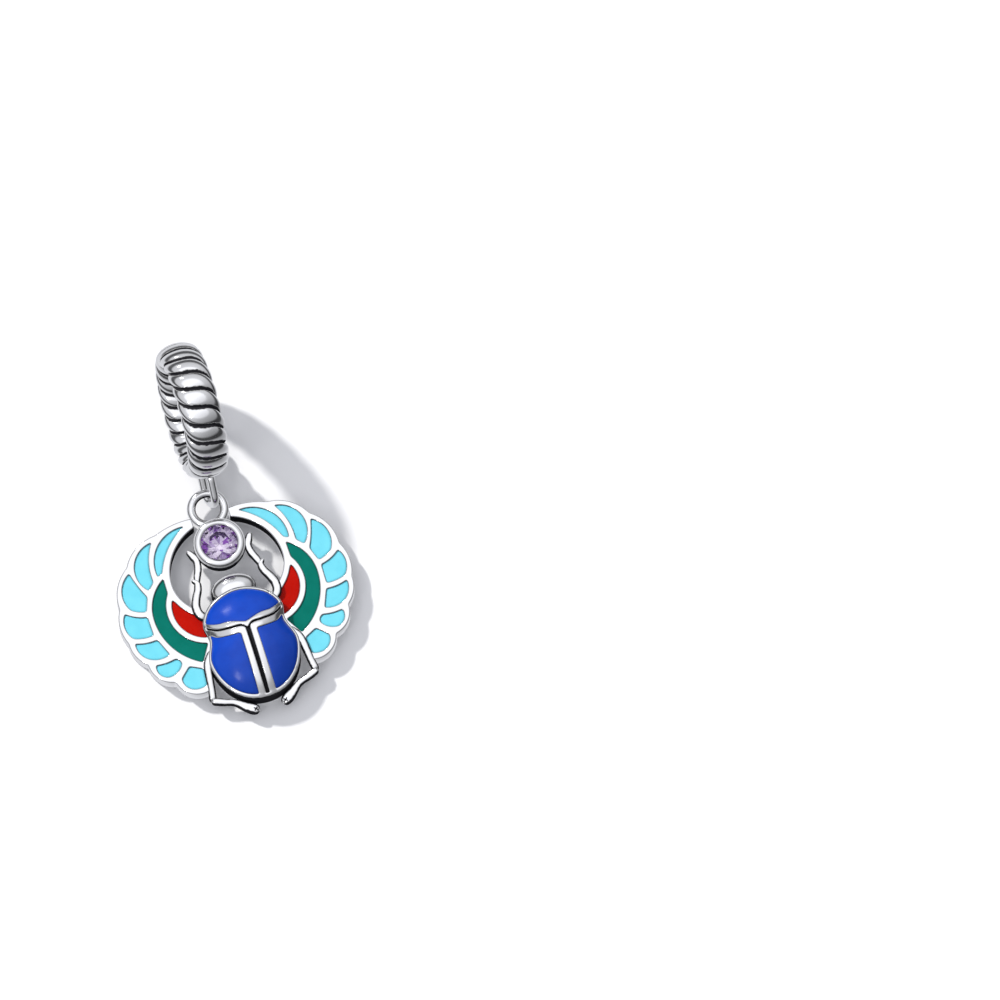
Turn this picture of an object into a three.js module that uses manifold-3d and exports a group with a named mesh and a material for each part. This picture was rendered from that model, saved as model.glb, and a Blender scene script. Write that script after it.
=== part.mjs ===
// Scarab charm: an enamelled silver pendant in the form of a winged beetle that lifts a round stone, and a
// rope-twist bail linked through its eyelet. Millimetres, +Z up. The pendant lies on its flat back and the
// bail stands on its edge. X runs across the wings, and Y from the beetle's tail to the bail.
import * as THREE from 'three';
import { mergeVertices } from 'three/addons/utils/BufferGeometryUtils.js';
import Module from 'manifold-3d';

const wasm = await Module();
wasm.setup();

// Plate and enamel
const PLATE_TOP = 1.3;
const CELL_FLOOR = 0.85;
const ENAMEL_TOP = 1.2;
const FIT_GAP = 0.03;
const OVERCUT = 1;
const ARC_STEP = THREE.MathUtils.degToRad(24);
const MERGE_DISTANCE = 1e-5;
const MITRE_LIMIT = 0.25;

// Opening around the stone: two half ellipses on one width, with the silver rim beside it
const OPENING_HALF_WIDTH = 3.95;
const OPENING_RISE = 3.75;
const OPENING_DROP = 3.1;
const RIM_WIDTH = 0.43;
const WING_TIP_X = 1.3;
const OPENING_LOW_Y = -2.6;
const OPENING_STEPS = 14;

// Outer edge of the right wing from the eyelet down. Each entry is a notch between two feathers and the swell
// of the scallop that follows it, so [x, y, swell]. The wing then runs back under the leg and the beetle.
const WING_EDGE = [
  [1.3, 4.22, 0.17],
  [4.05, 3.82, 0.42],
  [6.6, 2.17, 0.4],
  [7.94, -0.55, 0.3],
  [8.05, -3.09, 0.25],
  [7.22, -4.93, 0.42],
  [5.78, -6.7, 0.5],
  [3.75, -8.0, 0],
];
const WING_UNDER_BEETLE = [[3.5, -7.2], [3.3, -6.2], [2.2, -5.6], [1.8, -3.4]];

// Feather cells of the right wing from the eyelet down, walked clockwise. Each corner is [x, y, swell], where
// swell is how far the edge to the next corner bows outwards.
const FEATHERS = [
  [[1.97, 3.83, 0.99], [4.73, 0.9, 0], [4.37, 1.05, -0.34]],
  [[4.43, 3.4, 1.1], [5.6, 0.14, 0], [5.13, 0.62, -0.25]],
  [[6.54, 1.72, 0.57], [7.2, -0.83, 0.07], [6.2, -1.27, 0], [5.84, -0.27, -0.07]],
  [[7.67, -0.97, 0.33], [7.6, -2.85, 0.09], [6.22, -3.03, 0], [6.25, -1.64, -0.12]],
  [[7.62, -3.22, 0.25], [6.9, -4.63, 0.15], [5.56, -4.67, 0], [6.08, -3.4, -0.1]],
  [[6.7, -5.13, 0.28], [6.1, -6.22, 0.2], [4.95, -5.53, 0.08], [5.28, -5.08, -0.08]],
  [[4.55, -5.88, 0], [5.3, -6.58, 0.26], [4.5, -7.61, 0.05], [3.75, -7.5, 0], [3.65, -6.33, 0]],
];

// Colour bands inside the feathers: the green band swells from one arc into a wider one at its widest line
const BAND_LINE = -2.0;
const GREEN_REACH = 5.88;
const GREEN_UPPER_RADIUS = 3.13;
const GREEN_LOWER_RADIUS = 4.4;
const GREEN_TIP = THREE.MathUtils.degToRad(58);
const GREEN_END = THREE.MathUtils.degToRad(-62);
const BAND_CENTRE_X = 2.15;
const GREEN_INNER_RADIUS = 2.75;
const RED_OUTER_RADIUS = 2.36;
const BAND_CORNER = THREE.MathUtils.degToRad(34);
const RED_TIP = THREE.MathUtils.degToRad(25);
const RED_LOW_Y = -2.9;
const RED_HIGH_Y = -1.1;
const RED_STEPS = 6;
const BAND_END = THREE.MathUtils.degToRad(-76);

// Beetle: right half of its outline from head to tail, and the heights of the dome on it
const BODY_SIDE = [
  [0, -1.62], [1.1, -1.84], [2.2, -2.48], [2.83, -3.55], [2.72, -4.7], [3.2, -6.35], [2.6, -8.22],
  [1.4, -9.36], [0, -9.68],
];
const BODY_CENTRE_Y = -5.5;
const BODY_STEPS = 40;
const BODY_RIM = 1.75;
const BODY_TOP = 3.15;
const BODY_ROUNDNESS = 0.8;
const DOME_RINGS = [1, 0.92, 0.78, 0.55, 0.25];
const BODY_ENAMEL_DEPTH = 0.3;
const BODY_ENAMEL_INSET = 0.95;
const BODY_FLOOR_INSET = 0.985;

// Lines across the beetle's back from its middle out to its side: the seam between pronotum and wing cases,
// and the edges of the enamel on both sides of it. The middle groove parts the wing cases.
const SEAM_LINE = [[0, -4.98], [0.36, -4.65], [1.15, -4.56], [2.0, -4.37], [2.65, -3.9], [3.5, -3.1]];
const PRONOTUM_EDGE = [[0, -4.48], [1.1, -4.1], [1.9, -3.97], [2.45, -3.7], [3.5, -3.0]];
const ELYTRON_EDGE = [[0.57, -5.13], [1.46, -5.02], [2.16, -4.81], [2.5, -4.5], [3.5, -3.6]];
const SEAM_HALF_WIDTH = 0.07;
const MIDLINE_HALF_WIDTH = 0.15;
const MIDLINE_START = -4.9;
const MIDLINE_END = -9.48;
const FIELD_HEAD_Y = 0;
const FIELD_TAIL_Y = -11;

// Head
const HEAD_Y = -1.42;
const HEAD_HALF_WIDTH = 1.58;
const HEAD_LENGTH = 1.04;
const HEAD_RIM = 0.95;
const HEAD_TOP = 1.85;
const HEAD_STEPS = 24;

// Legs of the right side, each with two limbs: the route of its middle line as [x, y, z], and half its size
const LEG_SIDES = 7;
const LEG_STEPS = 7;
const LIMBS = [
  {
    route: [[2.45, -3.0, 1.2], [2.8, -2.55, 1.3], [2.86, -2.0, 1.3], [2.66, -1.4, 1.25], [2.36, -0.8, 1.2],
      [2.3, -0.35, 1.2], [2.55, -0.08, 1.2]],
    halfWidth: 0.28,
    halfHeight: 0.3,
  },
  {
    route: [[2.3, -0.35, 1.2], [2.14, 0.1, 1.2], [1.93, 0.6, 1.2], [1.86, 1.2, 1.2], [2.05, 1.65, 1.2],
      [2.28, 2.04, 1.2]],
    halfWidth: 0.23,
    halfHeight: 0.25,
  },
  {
    route: [[2.75, -5.35, 1.25], [3.3, -6.15, 1.2], [3.48, -7.2, 1.15], [3.58, -8.0, 1.05],
      [3.7, -8.66, 0.95]],
    halfWidth: 0.28,
    halfHeight: 0.35,
  },
  {
    route: [[3.78, -8.66, 0.95], [3.0, -8.98, 0.9], [2.3, -9.22, 0.85], [1.6, -9.74, 0.8],
      [0.86, -10.2, 0.75]],
    halfWidth: 0.28,
    halfHeight: 0.28,
  },
];

// Stone in its bezel cup, as radius and height pairs around the cup's axis
const STONE_Y = 1.8;
const ROUND_STEPS = 28;
const BEZEL_PROFILE = [
  [0.9, 0.35], [1.5, 0.35], [1.8, 1.2], [1.82, 1.7], [1.66, 1.98], [1.42, 2.06], [1.24, 1.95], [1.24, 1.84],
  [1.4, 1.8], [1.4, 1.64], [0.9, 1.1], [0.9, 0.35],
];
const STONE_STEPS = 16;
const STONE_PROFILE = [[0, 0.55], [1.36, 1.68], [1.36, 1.72], [0.75, 2.1], [0, 2.1]];

// Eyelet
const EYELET_Y = 4.55;
const EYELET_Z = 1.15;
const EYELET_RADIUS = 1.15;
const EYELET_WIRE = 0.3;
const EYELET_SIDES = 8;
const EYELET_STEPS = 22;

// Bail: a twisted ring with an oval eye. The eye hangs around the eyelet's wire, and the ring leans sideways.
const RING_OUTER = 4.8;
const RING_INNER = 3.0;
const RING_HALF_WIDTH = 1.45;
const ROPE_RIDGES = 22;
const ROPE_STRANDS = 3;
const ROPE_START = 0.5;
const ROPE_GROOVE = 0.2;
const ROPE_SIDE_TWIST = 0.7;
const ROPE_STEPS_PER_RIDGE = 4;
const ROPE_SIDES = 12;
const EYE_WIRE = 0.28;
const EYE_BEND = 0.78;
const EYE_NEAR = 5.1;
const EYE_REACH = 6.15;
const EYE_TWIST = THREE.MathUtils.degToRad(14);
const EYE_SIDES = 8;
const EYE_STEPS = 24;
const BAIL_TURN = THREE.MathUtils.degToRad(0.6);
const BAIL_TILT = THREE.MathUtils.degToRad(5);
const LINK_PLACE = THREE.MathUtils.degToRad(22.7);

// Finishes
const SILVER = { color: '#c9ccd2', roughness: 0.15, metalness: 1 };
const TURQUOISE = { color: '#7ce4f8', roughness: 0.2, metalness: 0 };
const GREEN = { color: '#007364', roughness: 0.2, metalness: 0 };
const RED = { color: '#c81e05', roughness: 0.2, metalness: 0 };
const BLUE = { color: '#2346be', roughness: 0.12, metalness: 0 };
const AMETHYST = { color: '#9a6cd0', roughness: 0.03, metalness: 0 };

const RIGHT = 1;
const LEFT = -1;

// A closed solid from a geometry: shared vertices merged, flat triangles dropped and faces pointing out
function solidOf(geometry) {
  const bare = new THREE.BufferGeometry();
  bare.setAttribute('position', geometry.getAttribute('position'));
  bare.setIndex(geometry.index);
  const merged = mergeVertices(bare, MERGE_DISTANCE);
  const vertices = Float32Array.from(merged.getAttribute('position').array);
  const triangles = [];
  let volume = 0;
  for (let i = 0; i < merged.index.count; i += 3) {
    const corners = [0, 1, 2].map((k) => merged.index.getX(i + k));
    if (new Set(corners).size === 3) {
      const [a, b, c] = corners.map((k) => new THREE.Vector3().fromArray(vertices, 3 * k));
      volume += a.dot(b.cross(c));
      triangles.push(corners);
    }
  }
  const outward = volume < 0 ? triangles.map(([a, b, c]) => [a, c, b]) : triangles;
  const triVerts = Uint32Array.from(outward.flat());
  return new wasm.Manifold(new wasm.Mesh({ numProp: 3, vertProperties: vertices, triVerts }));
}

function geometryOf(solid) {
  const mesh = solid.getMesh();
  const geometry = new THREE.BufferGeometry();
  geometry.setAttribute('position', new THREE.BufferAttribute(Float32Array.from(mesh.vertProperties), 3));
  geometry.setIndex(new THREE.BufferAttribute(Uint32Array.from(mesh.triVerts), 1));
  return geometry;
}

function joined(solids) {
  return solids.reduce((whole, solid) => whole.add(solid));
}

// A straight-walled solid on an outline
function prism(outline, low, high) {
  const geometry = new THREE.ExtrudeGeometry(new THREE.Shape(outline), {
    depth: high - low,
    bevelEnabled: false,
  });
  return solidOf(geometry.translate(0, 0, low));
}

// A skin over a row of rings with equal counts of points: closed by a fan at each end, or joined end to end
// with the last ring meeting the first one turned by some points
function skin(rings, isLoop = false, turn = 0) {
  const count = rings[0].length;
  const points = rings.flat();
  const triangles = [];
  const bands = isLoop ? rings.length : rings.length - 1;
  for (let row = 0; row < bands; row += 1) {
    const next = (row + 1) % rings.length;
    const shift = next === 0 ? turn : 0;
    for (let k = 0; k < count; k += 1) {
      const a = row * count + k;
      const b = row * count + ((k + 1) % count);
      const c = next * count + ((k + 1 + shift) % count);
      const d = next * count + ((k + shift) % count);
      triangles.push(a, b, c, a, c, d);
    }
  }
  if (!isLoop) {
    for (const [row, flip] of [[0, true], [rings.length - 1, false]]) {
      const middle = rings[row].reduce((sum, p) => sum.add(p), new THREE.Vector3()).divideScalar(count);
      const hub = points.push(middle) - 1;
      for (let k = 0; k < count; k += 1) {
        const a = row * count + k;
        const b = row * count + ((k + 1) % count);
        triangles.push(...(flip ? [hub, b, a] : [hub, a, b]));
      }
    }
  }
  const geometry = new THREE.BufferGeometry().setFromPoints(points);
  geometry.setIndex(triangles);
  return solidOf(geometry);
}

// Points of an arc from one corner up to the next, bowed to the left of the way by the swell
function arcTo(from, to, swell) {
  const chord = new THREE.Vector2().subVectors(to, from);
  const half = chord.length() / 2;
  if (swell === 0) {
    return [from];
  }
  const bow = Math.abs(swell);
  const radius = (half * half + bow * bow) / (2 * bow);
  const sweep = 2 * Math.asin(Math.min(1, half / radius));
  const steps = Math.max(2, Math.ceil(sweep / ARC_STEP));
  const along = chord.clone().normalize();
  const aside = new THREE.Vector2(-along.y, along.x).multiplyScalar(Math.sign(swell));
  const middle = from.clone().add(to).multiplyScalar(0.5);
  return Array.from({ length: steps }, (_, k) => {
    const angle = sweep * (k / steps - 0.5);
    const rise = radius * (Math.cos(angle) - Math.cos(sweep / 2));
    return middle.clone().addScaledVector(along, radius * Math.sin(angle)).addScaledVector(aside, rise);
  });
}

// A chain of corners with swells, sampled; a closed chain goes back to its first corner
function arcChain(corners, isClosed) {
  const spots = corners.map(([x, y]) => new THREE.Vector2(x, y));
  const last = isClosed ? corners.length : corners.length - 1;
  const points = [];
  for (let k = 0; k < last; k += 1) {
    points.push(...arcTo(spots[k], spots[(k + 1) % spots.length], corners[k][2]));
  }
  return isClosed ? points : [...points, spots[last]];
}

// Points of a circle's arc around a centre on the bands' line
function bandArc(centreX, radius, from, to) {
  const steps = Math.max(2, Math.ceil(Math.abs(to - from) / ARC_STEP) + 1);
  return Array.from({ length: steps + 1 }, (_, k) => {
    const angle = from + ((to - from) * k) / steps;
    return new THREE.Vector2(centreX + radius * Math.cos(angle), BAND_LINE + radius * Math.sin(angle));
  });
}

// Points along the opening's edge, or along the rim at some distance outside it, between two heights
function openingEdge(outside, fromY, toY, steps) {
  const angleAt = (y) => Math.asin(y / ((y > 0 ? OPENING_RISE : OPENING_DROP) + outside));
  const [from, to] = [angleAt(fromY), angleAt(toY)];
  return Array.from({ length: steps + 1 }, (_, k) => {
    const angle = from + ((to - from) * k) / steps;
    const height = (angle > 0 ? OPENING_RISE : OPENING_DROP) + outside;
    return new THREE.Vector2((OPENING_HALF_WIDTH + outside) * Math.cos(angle), height * Math.sin(angle));
  });
}

// An outline drawn in by a distance, corner by corner
function drawnIn(outline, distance) {
  const turn = Math.sign(THREE.ShapeUtils.area(outline));
  return outline.map((point, k) => {
    const before = outline[(k + outline.length - 1) % outline.length];
    const after = outline[(k + 1) % outline.length];
    const into = new THREE.Vector2().subVectors(point, before).normalize();
    const onward = new THREE.Vector2().subVectors(after, point).normalize();
    const normal = new THREE.Vector2(-into.y - onward.y, into.x + onward.x).normalize();
    const stretch = Math.max(MITRE_LIMIT, normal.dot(new THREE.Vector2(-into.y, into.x)));
    return point.clone().addScaledVector(normal, (turn * distance) / stretch);
  });
}

function mirrored(outline, side) {
  return outline.map((point) => new THREE.Vector2(side * point.x, point.y));
}

// Outline of one wing: its scalloped edge, the line under the hind leg and the opening's edge
function wingOutline() {
  const underBeetle = WING_UNDER_BEETLE.map(([x, y]) => new THREE.Vector2(x, y));
  const tipY = OPENING_RISE * Math.sqrt(1 - (WING_TIP_X / OPENING_HALF_WIDTH) ** 2);
  const edge = openingEdge(0, OPENING_LOW_Y, tipY, OPENING_STEPS);
  return [...arcChain(WING_EDGE, false), ...underBeetle, ...edge];
}

function greenOutline() {
  const tip = bandArc(GREEN_REACH - GREEN_UPPER_RADIUS, GREEN_UPPER_RADIUS, GREEN_TIP, 0);
  const sweep = bandArc(GREEN_REACH - GREEN_LOWER_RADIUS, GREEN_LOWER_RADIUS, 0, GREEN_END).slice(1);
  const inner = bandArc(BAND_CENTRE_X, GREEN_INNER_RADIUS, BAND_END, BAND_CORNER);
  return [...tip, ...sweep, ...inner];
}

function redOutline() {
  const sweep = bandArc(BAND_CENTRE_X, RED_OUTER_RADIUS, RED_TIP, BAND_END);
  return [...sweep, ...openingEdge(RIM_WIDTH, RED_LOW_Y, RED_HIGH_Y, RED_STEPS)];
}

// The beetle's whole outline, and the same drawn towards its middle
function bodyOutline(scale) {
  const right = BODY_SIDE.map(([x, y]) => new THREE.Vector3(x, y, 0));
  const left = BODY_SIDE.slice(1, -1).reverse().map(([x, y]) => new THREE.Vector3(-x, y, 0));
  const curve = new THREE.CatmullRomCurve3([...right, ...left], true, 'centripetal');
  return curve.getSpacedPoints(BODY_STEPS).slice(0, -1).map(
    (p) => new THREE.Vector2(p.x * scale, BODY_CENTRE_Y + (p.y - BODY_CENTRE_Y) * scale),
  );
}

// A dome on an outline with straight walls up to its rim
function dome(outline, centreY, rim, top) {
  const place = (scale, z) => outline.map(
    (p) => new THREE.Vector3(p.x * scale, centreY + (p.y - centreY) * scale, z),
  );
  const rings = DOME_RINGS.map(
    (scale) => place(scale, rim + (top - rim) * (1 - scale * scale) ** BODY_ROUNDNESS),
  );
  return skin([place(1, 0), ...rings]);
}

// A line across the beetle's back, moved along the body: its right half, or the whole from left to right
function halfLine(line, shift) {
  return line.map(([x, y]) => new THREE.Vector2(x, y + shift));
}

function wholeLine(line, shift) {
  const right = halfLine(line, shift);
  return [...mirrored(right.slice(1), LEFT).reverse(), ...right];
}

function pronotumField() {
  const lower = wholeLine(PRONOTUM_EDGE, 0);
  const upper = [lower.at(-1), lower[0]].map((p) => new THREE.Vector2(p.x, FIELD_HEAD_Y));
  return [...lower, ...upper];
}

function elytronField(side) {
  const upper = halfLine(ELYTRON_EDGE, 0);
  const lower = [upper.at(-1), upper[0]].map((p) => new THREE.Vector2(p.x, FIELD_TAIL_Y));
  return mirrored([...upper, ...lower], side);
}

function seamGroove() {
  return [...wholeLine(SEAM_LINE, -SEAM_HALF_WIDTH), ...wholeLine(SEAM_LINE, SEAM_HALF_WIDTH).reverse()];
}

function midlineGroove() {
  return [
    new THREE.Vector2(-MIDLINE_HALF_WIDTH, MIDLINE_END),
    new THREE.Vector2(MIDLINE_HALF_WIDTH, MIDLINE_END),
    new THREE.Vector2(MIDLINE_HALF_WIDTH, MIDLINE_START),
    new THREE.Vector2(-MIDLINE_HALF_WIDTH, MIDLINE_START),
  ];
}

const bodyDome = dome(bodyOutline(1), BODY_CENTRE_Y, BODY_RIM, BODY_TOP);
const bodyFields = { pronotum: pronotumField(), left: elytronField(LEFT), right: elytronField(RIGHT) };

// The part of the beetle's back that one field of enamel takes up
function bodyCell(field) {
  const inset = prism(bodyOutline(BODY_ENAMEL_INSET), 0, BODY_TOP + OVERCUT);
  return inset.intersect(prism(field, 0, BODY_TOP + OVERCUT));
}

function bodyFloor(lift) {
  const depth = BODY_ENAMEL_DEPTH - lift;
  return dome(bodyOutline(BODY_FLOOR_INSET), BODY_CENTRE_Y, BODY_RIM - depth, BODY_TOP - depth);
}

function beetleBody() {
  const grooveFloor = BODY_RIM - BODY_ENAMEL_DEPTH;
  const grooves = [seamGroove(), midlineGroove()].map(
    (outline) => prism(outline, grooveFloor, BODY_TOP + OVERCUT),
  );
  const cuts = joined([...Object.values(bodyFields).map(bodyCell), ...grooves]);
  return bodyDome.subtract(cuts).add(bodyFloor(0));
}

function bodyEnamel(field) {
  const within = prism(drawnIn(field, FIT_GAP), 0, BODY_TOP + OVERCUT);
  const inset = prism(drawnIn(bodyOutline(BODY_ENAMEL_INSET), FIT_GAP), 0, BODY_TOP + OVERCUT);
  return bodyDome.intersect(within).intersect(inset).subtract(bodyFloor(FIT_GAP));
}

function head() {
  const outline = Array.from({ length: HEAD_STEPS }, (_, k) => {
    const angle = (2 * Math.PI * k) / HEAD_STEPS;
    return new THREE.Vector2(HEAD_HALF_WIDTH * Math.cos(angle), HEAD_Y + HEAD_LENGTH * Math.sin(angle));
  });
  const underBody = prism(bodyOutline(BODY_ENAMEL_INSET), 0, BODY_TOP);
  return dome(outline, HEAD_Y, HEAD_RIM, HEAD_TOP).subtract(underBody);
}

// One limb of a leg: an oval bar along its route, thickened by some clearance where it trims its neighbours
function limb({ route, halfWidth, halfHeight }, side, clearance) {
  const curve = new THREE.CatmullRomCurve3(route.map(([x, y, z]) => new THREE.Vector3(side * x, y, z)));
  const rings = Array.from({ length: LEG_STEPS + 1 }, (_, k) => {
    const place = curve.getPointAt(k / LEG_STEPS);
    const along = curve.getTangentAt(k / LEG_STEPS);
    const across = new THREE.Vector3(-along.y, along.x, 0).normalize();
    return Array.from({ length: LEG_SIDES }, (_unused, j) => {
      const angle = (2 * Math.PI * j) / LEG_SIDES;
      const rise = (halfHeight + clearance) * Math.sin(angle);
      const point = place.clone().addScaledVector(across, (halfWidth + clearance) * Math.cos(angle));
      return point.add(new THREE.Vector3(0, 0, rise));
    });
  });
  return skin(rings);
}

function legs(clearance) {
  return joined([RIGHT, LEFT].flatMap((side) => LIMBS.map((entry) => limb(entry, side, clearance))));
}

function lathed(profile, steps) {
  const points = profile.map(([radius, height]) => new THREE.Vector2(radius, height));
  const geometry = new THREE.LatheGeometry(points, steps);
  return solidOf(geometry.rotateX(Math.PI / 2).translate(0, STONE_Y, 0));
}

function eyelet() {
  const geometry = new THREE.TorusGeometry(EYELET_RADIUS, EYELET_WIRE, EYELET_SIDES, EYELET_STEPS);
  return solidOf(geometry.translate(0, EYELET_Y, EYELET_Z));
}

const wingCells = { green_band: greenOutline(), red_band: redOutline() };
FEATHERS.forEach((corners, k) => {
  wingCells[`feather_${k + 1}`] = arcChain(corners, true);
});

function silverPendant() {
  const wings = [RIGHT, LEFT].map((side) => {
    const plate = prism(mirrored(wingOutline(), side), 0, PLATE_TOP);
    const cells = Object.values(wingCells).map(
      (outline) => prism(mirrored(outline, side), CELL_FLOOR, PLATE_TOP + OVERCUT),
    );
    return plate.subtract(joined(cells));
  });
  const cup = lathed(BEZEL_PROFILE, ROUND_STEPS);
  return joined([...wings, beetleBody(), head(), legs(0), cup, eyelet()]);
}

// Enamel fill of one wing cell, cut back from the beetle and its legs where they cross it
function wingEnamel(outline, side) {
  const fill = prism(drawnIn(mirrored(outline, side), FIT_GAP), CELL_FLOOR + FIT_GAP, ENAMEL_TOP);
  const beetle = prism(drawnIn(bodyOutline(1), -FIT_GAP), 0, BODY_TOP);
  return fill.subtract(beetle).subtract(legs(FIT_GAP));
}

const RING_MIDDLE = (RING_OUTER + RING_INNER) / 2;
const RING_HALF_DEPTH = (RING_OUTER - RING_INNER) / 2;

// Point of the twisted ring at a ridge angle and a section angle, around the ring's own X axis
function ropePoint(ridgeAngle, sectionAngle) {
  const twist = ROPE_STRANDS * (sectionAngle - (ROPE_SIDE_TWIST / 2) * Math.sin(2 * sectionAngle));
  const around = ridgeAngle + (twist + 2 * Math.PI * ROPE_START) / ROPE_RIDGES;
  const acrossRidge = 2 * (((ridgeAngle * ROPE_RIDGES) / (2 * Math.PI)) % 1) - 1;
  const swell = 1 - ROPE_GROOVE * acrossRidge * acrossRidge;
  const radius = RING_MIDDLE + RING_HALF_DEPTH * swell * Math.cos(sectionAngle);
  const aside = RING_HALF_WIDTH * swell * Math.sin(sectionAngle);
  return new THREE.Vector3(aside, radius * Math.cos(around), radius * Math.sin(around));
}

function ropeRing() {
  const count = ROPE_RIDGES * ROPE_STEPS_PER_RIDGE;
  const rings = Array.from({ length: ROPE_SIDES }, (_, row) => {
    const sectionAngle = (2 * Math.PI * row) / ROPE_SIDES;
    return Array.from({ length: count }, (_unused, k) => ropePoint((2 * Math.PI * k) / count, sectionAngle));
  });
  return skin(rings, true, ROPE_STRANDS * ROPE_STEPS_PER_RIDGE);
}

// Height of the leaning ring's centre when it stands on the ground, and the angle by which its eye then
// points down from level
const STAND_HEIGHT = RING_MIDDLE * Math.cos(BAIL_TILT)
  + Math.hypot(RING_HALF_DEPTH * Math.cos(BAIL_TILT), RING_HALF_WIDTH * Math.sin(BAIL_TILT));
const EYE_DROP = Math.asin((STAND_HEIGHT - EYELET_Z) / (EYE_REACH * Math.cos(BAIL_TILT)));
const EYE_WAY = new THREE.Vector3(0, -Math.cos(EYE_DROP), -Math.sin(EYE_DROP));

// The oval eye, twisted a little about its own length
function bailEye() {
  const straight = EYE_REACH - EYE_NEAR;
  const halfWay = Math.PI * EYE_BEND + straight;
  const aside = new THREE.Vector3(0, -Math.sin(EYE_DROP), Math.cos(EYE_DROP));
  aside.applyAxisAngle(EYE_WAY, -EYE_TWIST);
  const axis = new THREE.Vector3().crossVectors(aside, EYE_WAY);
  const rings = Array.from({ length: EYE_STEPS }, (_, k) => {
    const way = ((2 * halfWay * k) / EYE_STEPS) % halfWay;
    const flip = 2 * k < EYE_STEPS ? 1 : -1;
    const bend = Math.min(1, way / (Math.PI * EYE_BEND)) * Math.PI;
    const slide = Math.max(0, way - Math.PI * EYE_BEND);
    const normal = EYE_WAY.clone().multiplyScalar(flip * Math.sin(bend));
    normal.addScaledVector(aside, flip * Math.cos(bend));
    const centre = EYE_WAY.clone().multiplyScalar(flip > 0 ? EYE_REACH - slide : EYE_NEAR + slide);
    return Array.from({ length: EYE_SIDES }, (_unused, j) => {
      const angle = (2 * Math.PI * j) / EYE_SIDES;
      const point = centre.clone().addScaledVector(normal, EYE_BEND + EYE_WIRE * Math.cos(angle));
      return point.addScaledVector(axis, EYE_WIRE * Math.sin(angle));
    });
  });
  return skin(rings, true);
}

const charm = new THREE.Group();

function addMesh(name, solid, finish) {
  const mesh = new THREE.Mesh(geometryOf(solid), new THREE.MeshStandardMaterial(finish));
  mesh.name = name;
  charm.add(mesh);
  return mesh;
}

addMesh('silver_pendant', silverPendant(), SILVER);
addMesh('gemstone', lathed(STONE_PROFILE, STONE_STEPS), AMETHYST);
addMesh('pronotum_enamel', bodyEnamel(bodyFields.pronotum), BLUE);
addMesh('elytron_enamel_left', bodyEnamel(bodyFields.left), BLUE);
addMesh('elytron_enamel_right', bodyEnamel(bodyFields.right), BLUE);
for (const [word, side] of [['left', LEFT], ['right', RIGHT]]) {
  addMesh(`green_band_${word}`, wingEnamel(wingCells.green_band, side), GREEN);
  addMesh(`red_band_${word}`, wingEnamel(wingCells.red_band, side), RED);
  FEATHERS.forEach((_, k) => {
    addMesh(`feather_${word}_${k + 1}`, wingEnamel(wingCells[`feather_${k + 1}`], side), TURQUOISE);
  });
}

// The bail turns and leans a little, and its eye hangs on the eyelet's wire, beside its top
const bail = addMesh('rope_bail', ropeRing().add(bailEye()), SILVER);
bail.rotation.set(0, BAIL_TILT, -BAIL_TURN, 'ZYX');
const linkPoint = new THREE.Vector3(
  EYELET_RADIUS * Math.sin(LINK_PLACE),
  EYELET_Y + EYELET_RADIUS * Math.cos(LINK_PLACE),
  EYELET_Z,
);
const eyeBend = EYE_WAY.clone().multiplyScalar(EYE_REACH).applyEuler(bail.rotation);
bail.position.copy(linkPoint).sub(eyeBend);

// Origin at the middle of the footprint, on the ground
const footprint = new THREE.Box3().setFromObject(charm, true);
const middle = footprint.getCenter(new THREE.Vector3());
for (const mesh of charm.children) {
  mesh.position.sub(new THREE.Vector3(middle.x, middle.y, footprint.min.z));
}

export default charm;
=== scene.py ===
"""Scarab charm: an enamelled silver pendant, a winged beetle that lifts a round stone, linked to a rope-twist bail.

Shapes are worked out in millimetres in the pendant's own plan, with X across the wings, Y from the beetle's tail to
the bail and Z up from the flat back. They are then put into the frame, in metres.
"""
import math

import bmesh
import bpy
import numpy as np
from mathutils import Matrix, Vector
from mathutils.geometry import delaunay_2d_cdt


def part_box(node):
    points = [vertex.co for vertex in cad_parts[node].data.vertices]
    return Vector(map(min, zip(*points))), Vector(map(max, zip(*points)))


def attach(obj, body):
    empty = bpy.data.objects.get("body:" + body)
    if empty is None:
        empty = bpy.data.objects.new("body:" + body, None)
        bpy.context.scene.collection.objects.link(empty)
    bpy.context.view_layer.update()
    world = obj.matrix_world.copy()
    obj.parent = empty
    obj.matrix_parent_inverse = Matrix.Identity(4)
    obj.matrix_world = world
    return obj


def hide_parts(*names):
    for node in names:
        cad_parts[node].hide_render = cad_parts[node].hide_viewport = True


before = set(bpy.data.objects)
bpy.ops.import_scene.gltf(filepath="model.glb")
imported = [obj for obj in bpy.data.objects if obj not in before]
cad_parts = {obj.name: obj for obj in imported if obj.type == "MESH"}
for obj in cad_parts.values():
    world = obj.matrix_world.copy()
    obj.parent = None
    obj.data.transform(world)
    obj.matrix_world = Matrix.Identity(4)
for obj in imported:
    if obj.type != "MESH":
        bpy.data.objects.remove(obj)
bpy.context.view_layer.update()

MM = 0.001
SIDES = ("right", "left")
SQUARE = np.array([(-1, -1), (1, -1), (1, 1), (-1, 1)])
DARK = 1.0

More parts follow.
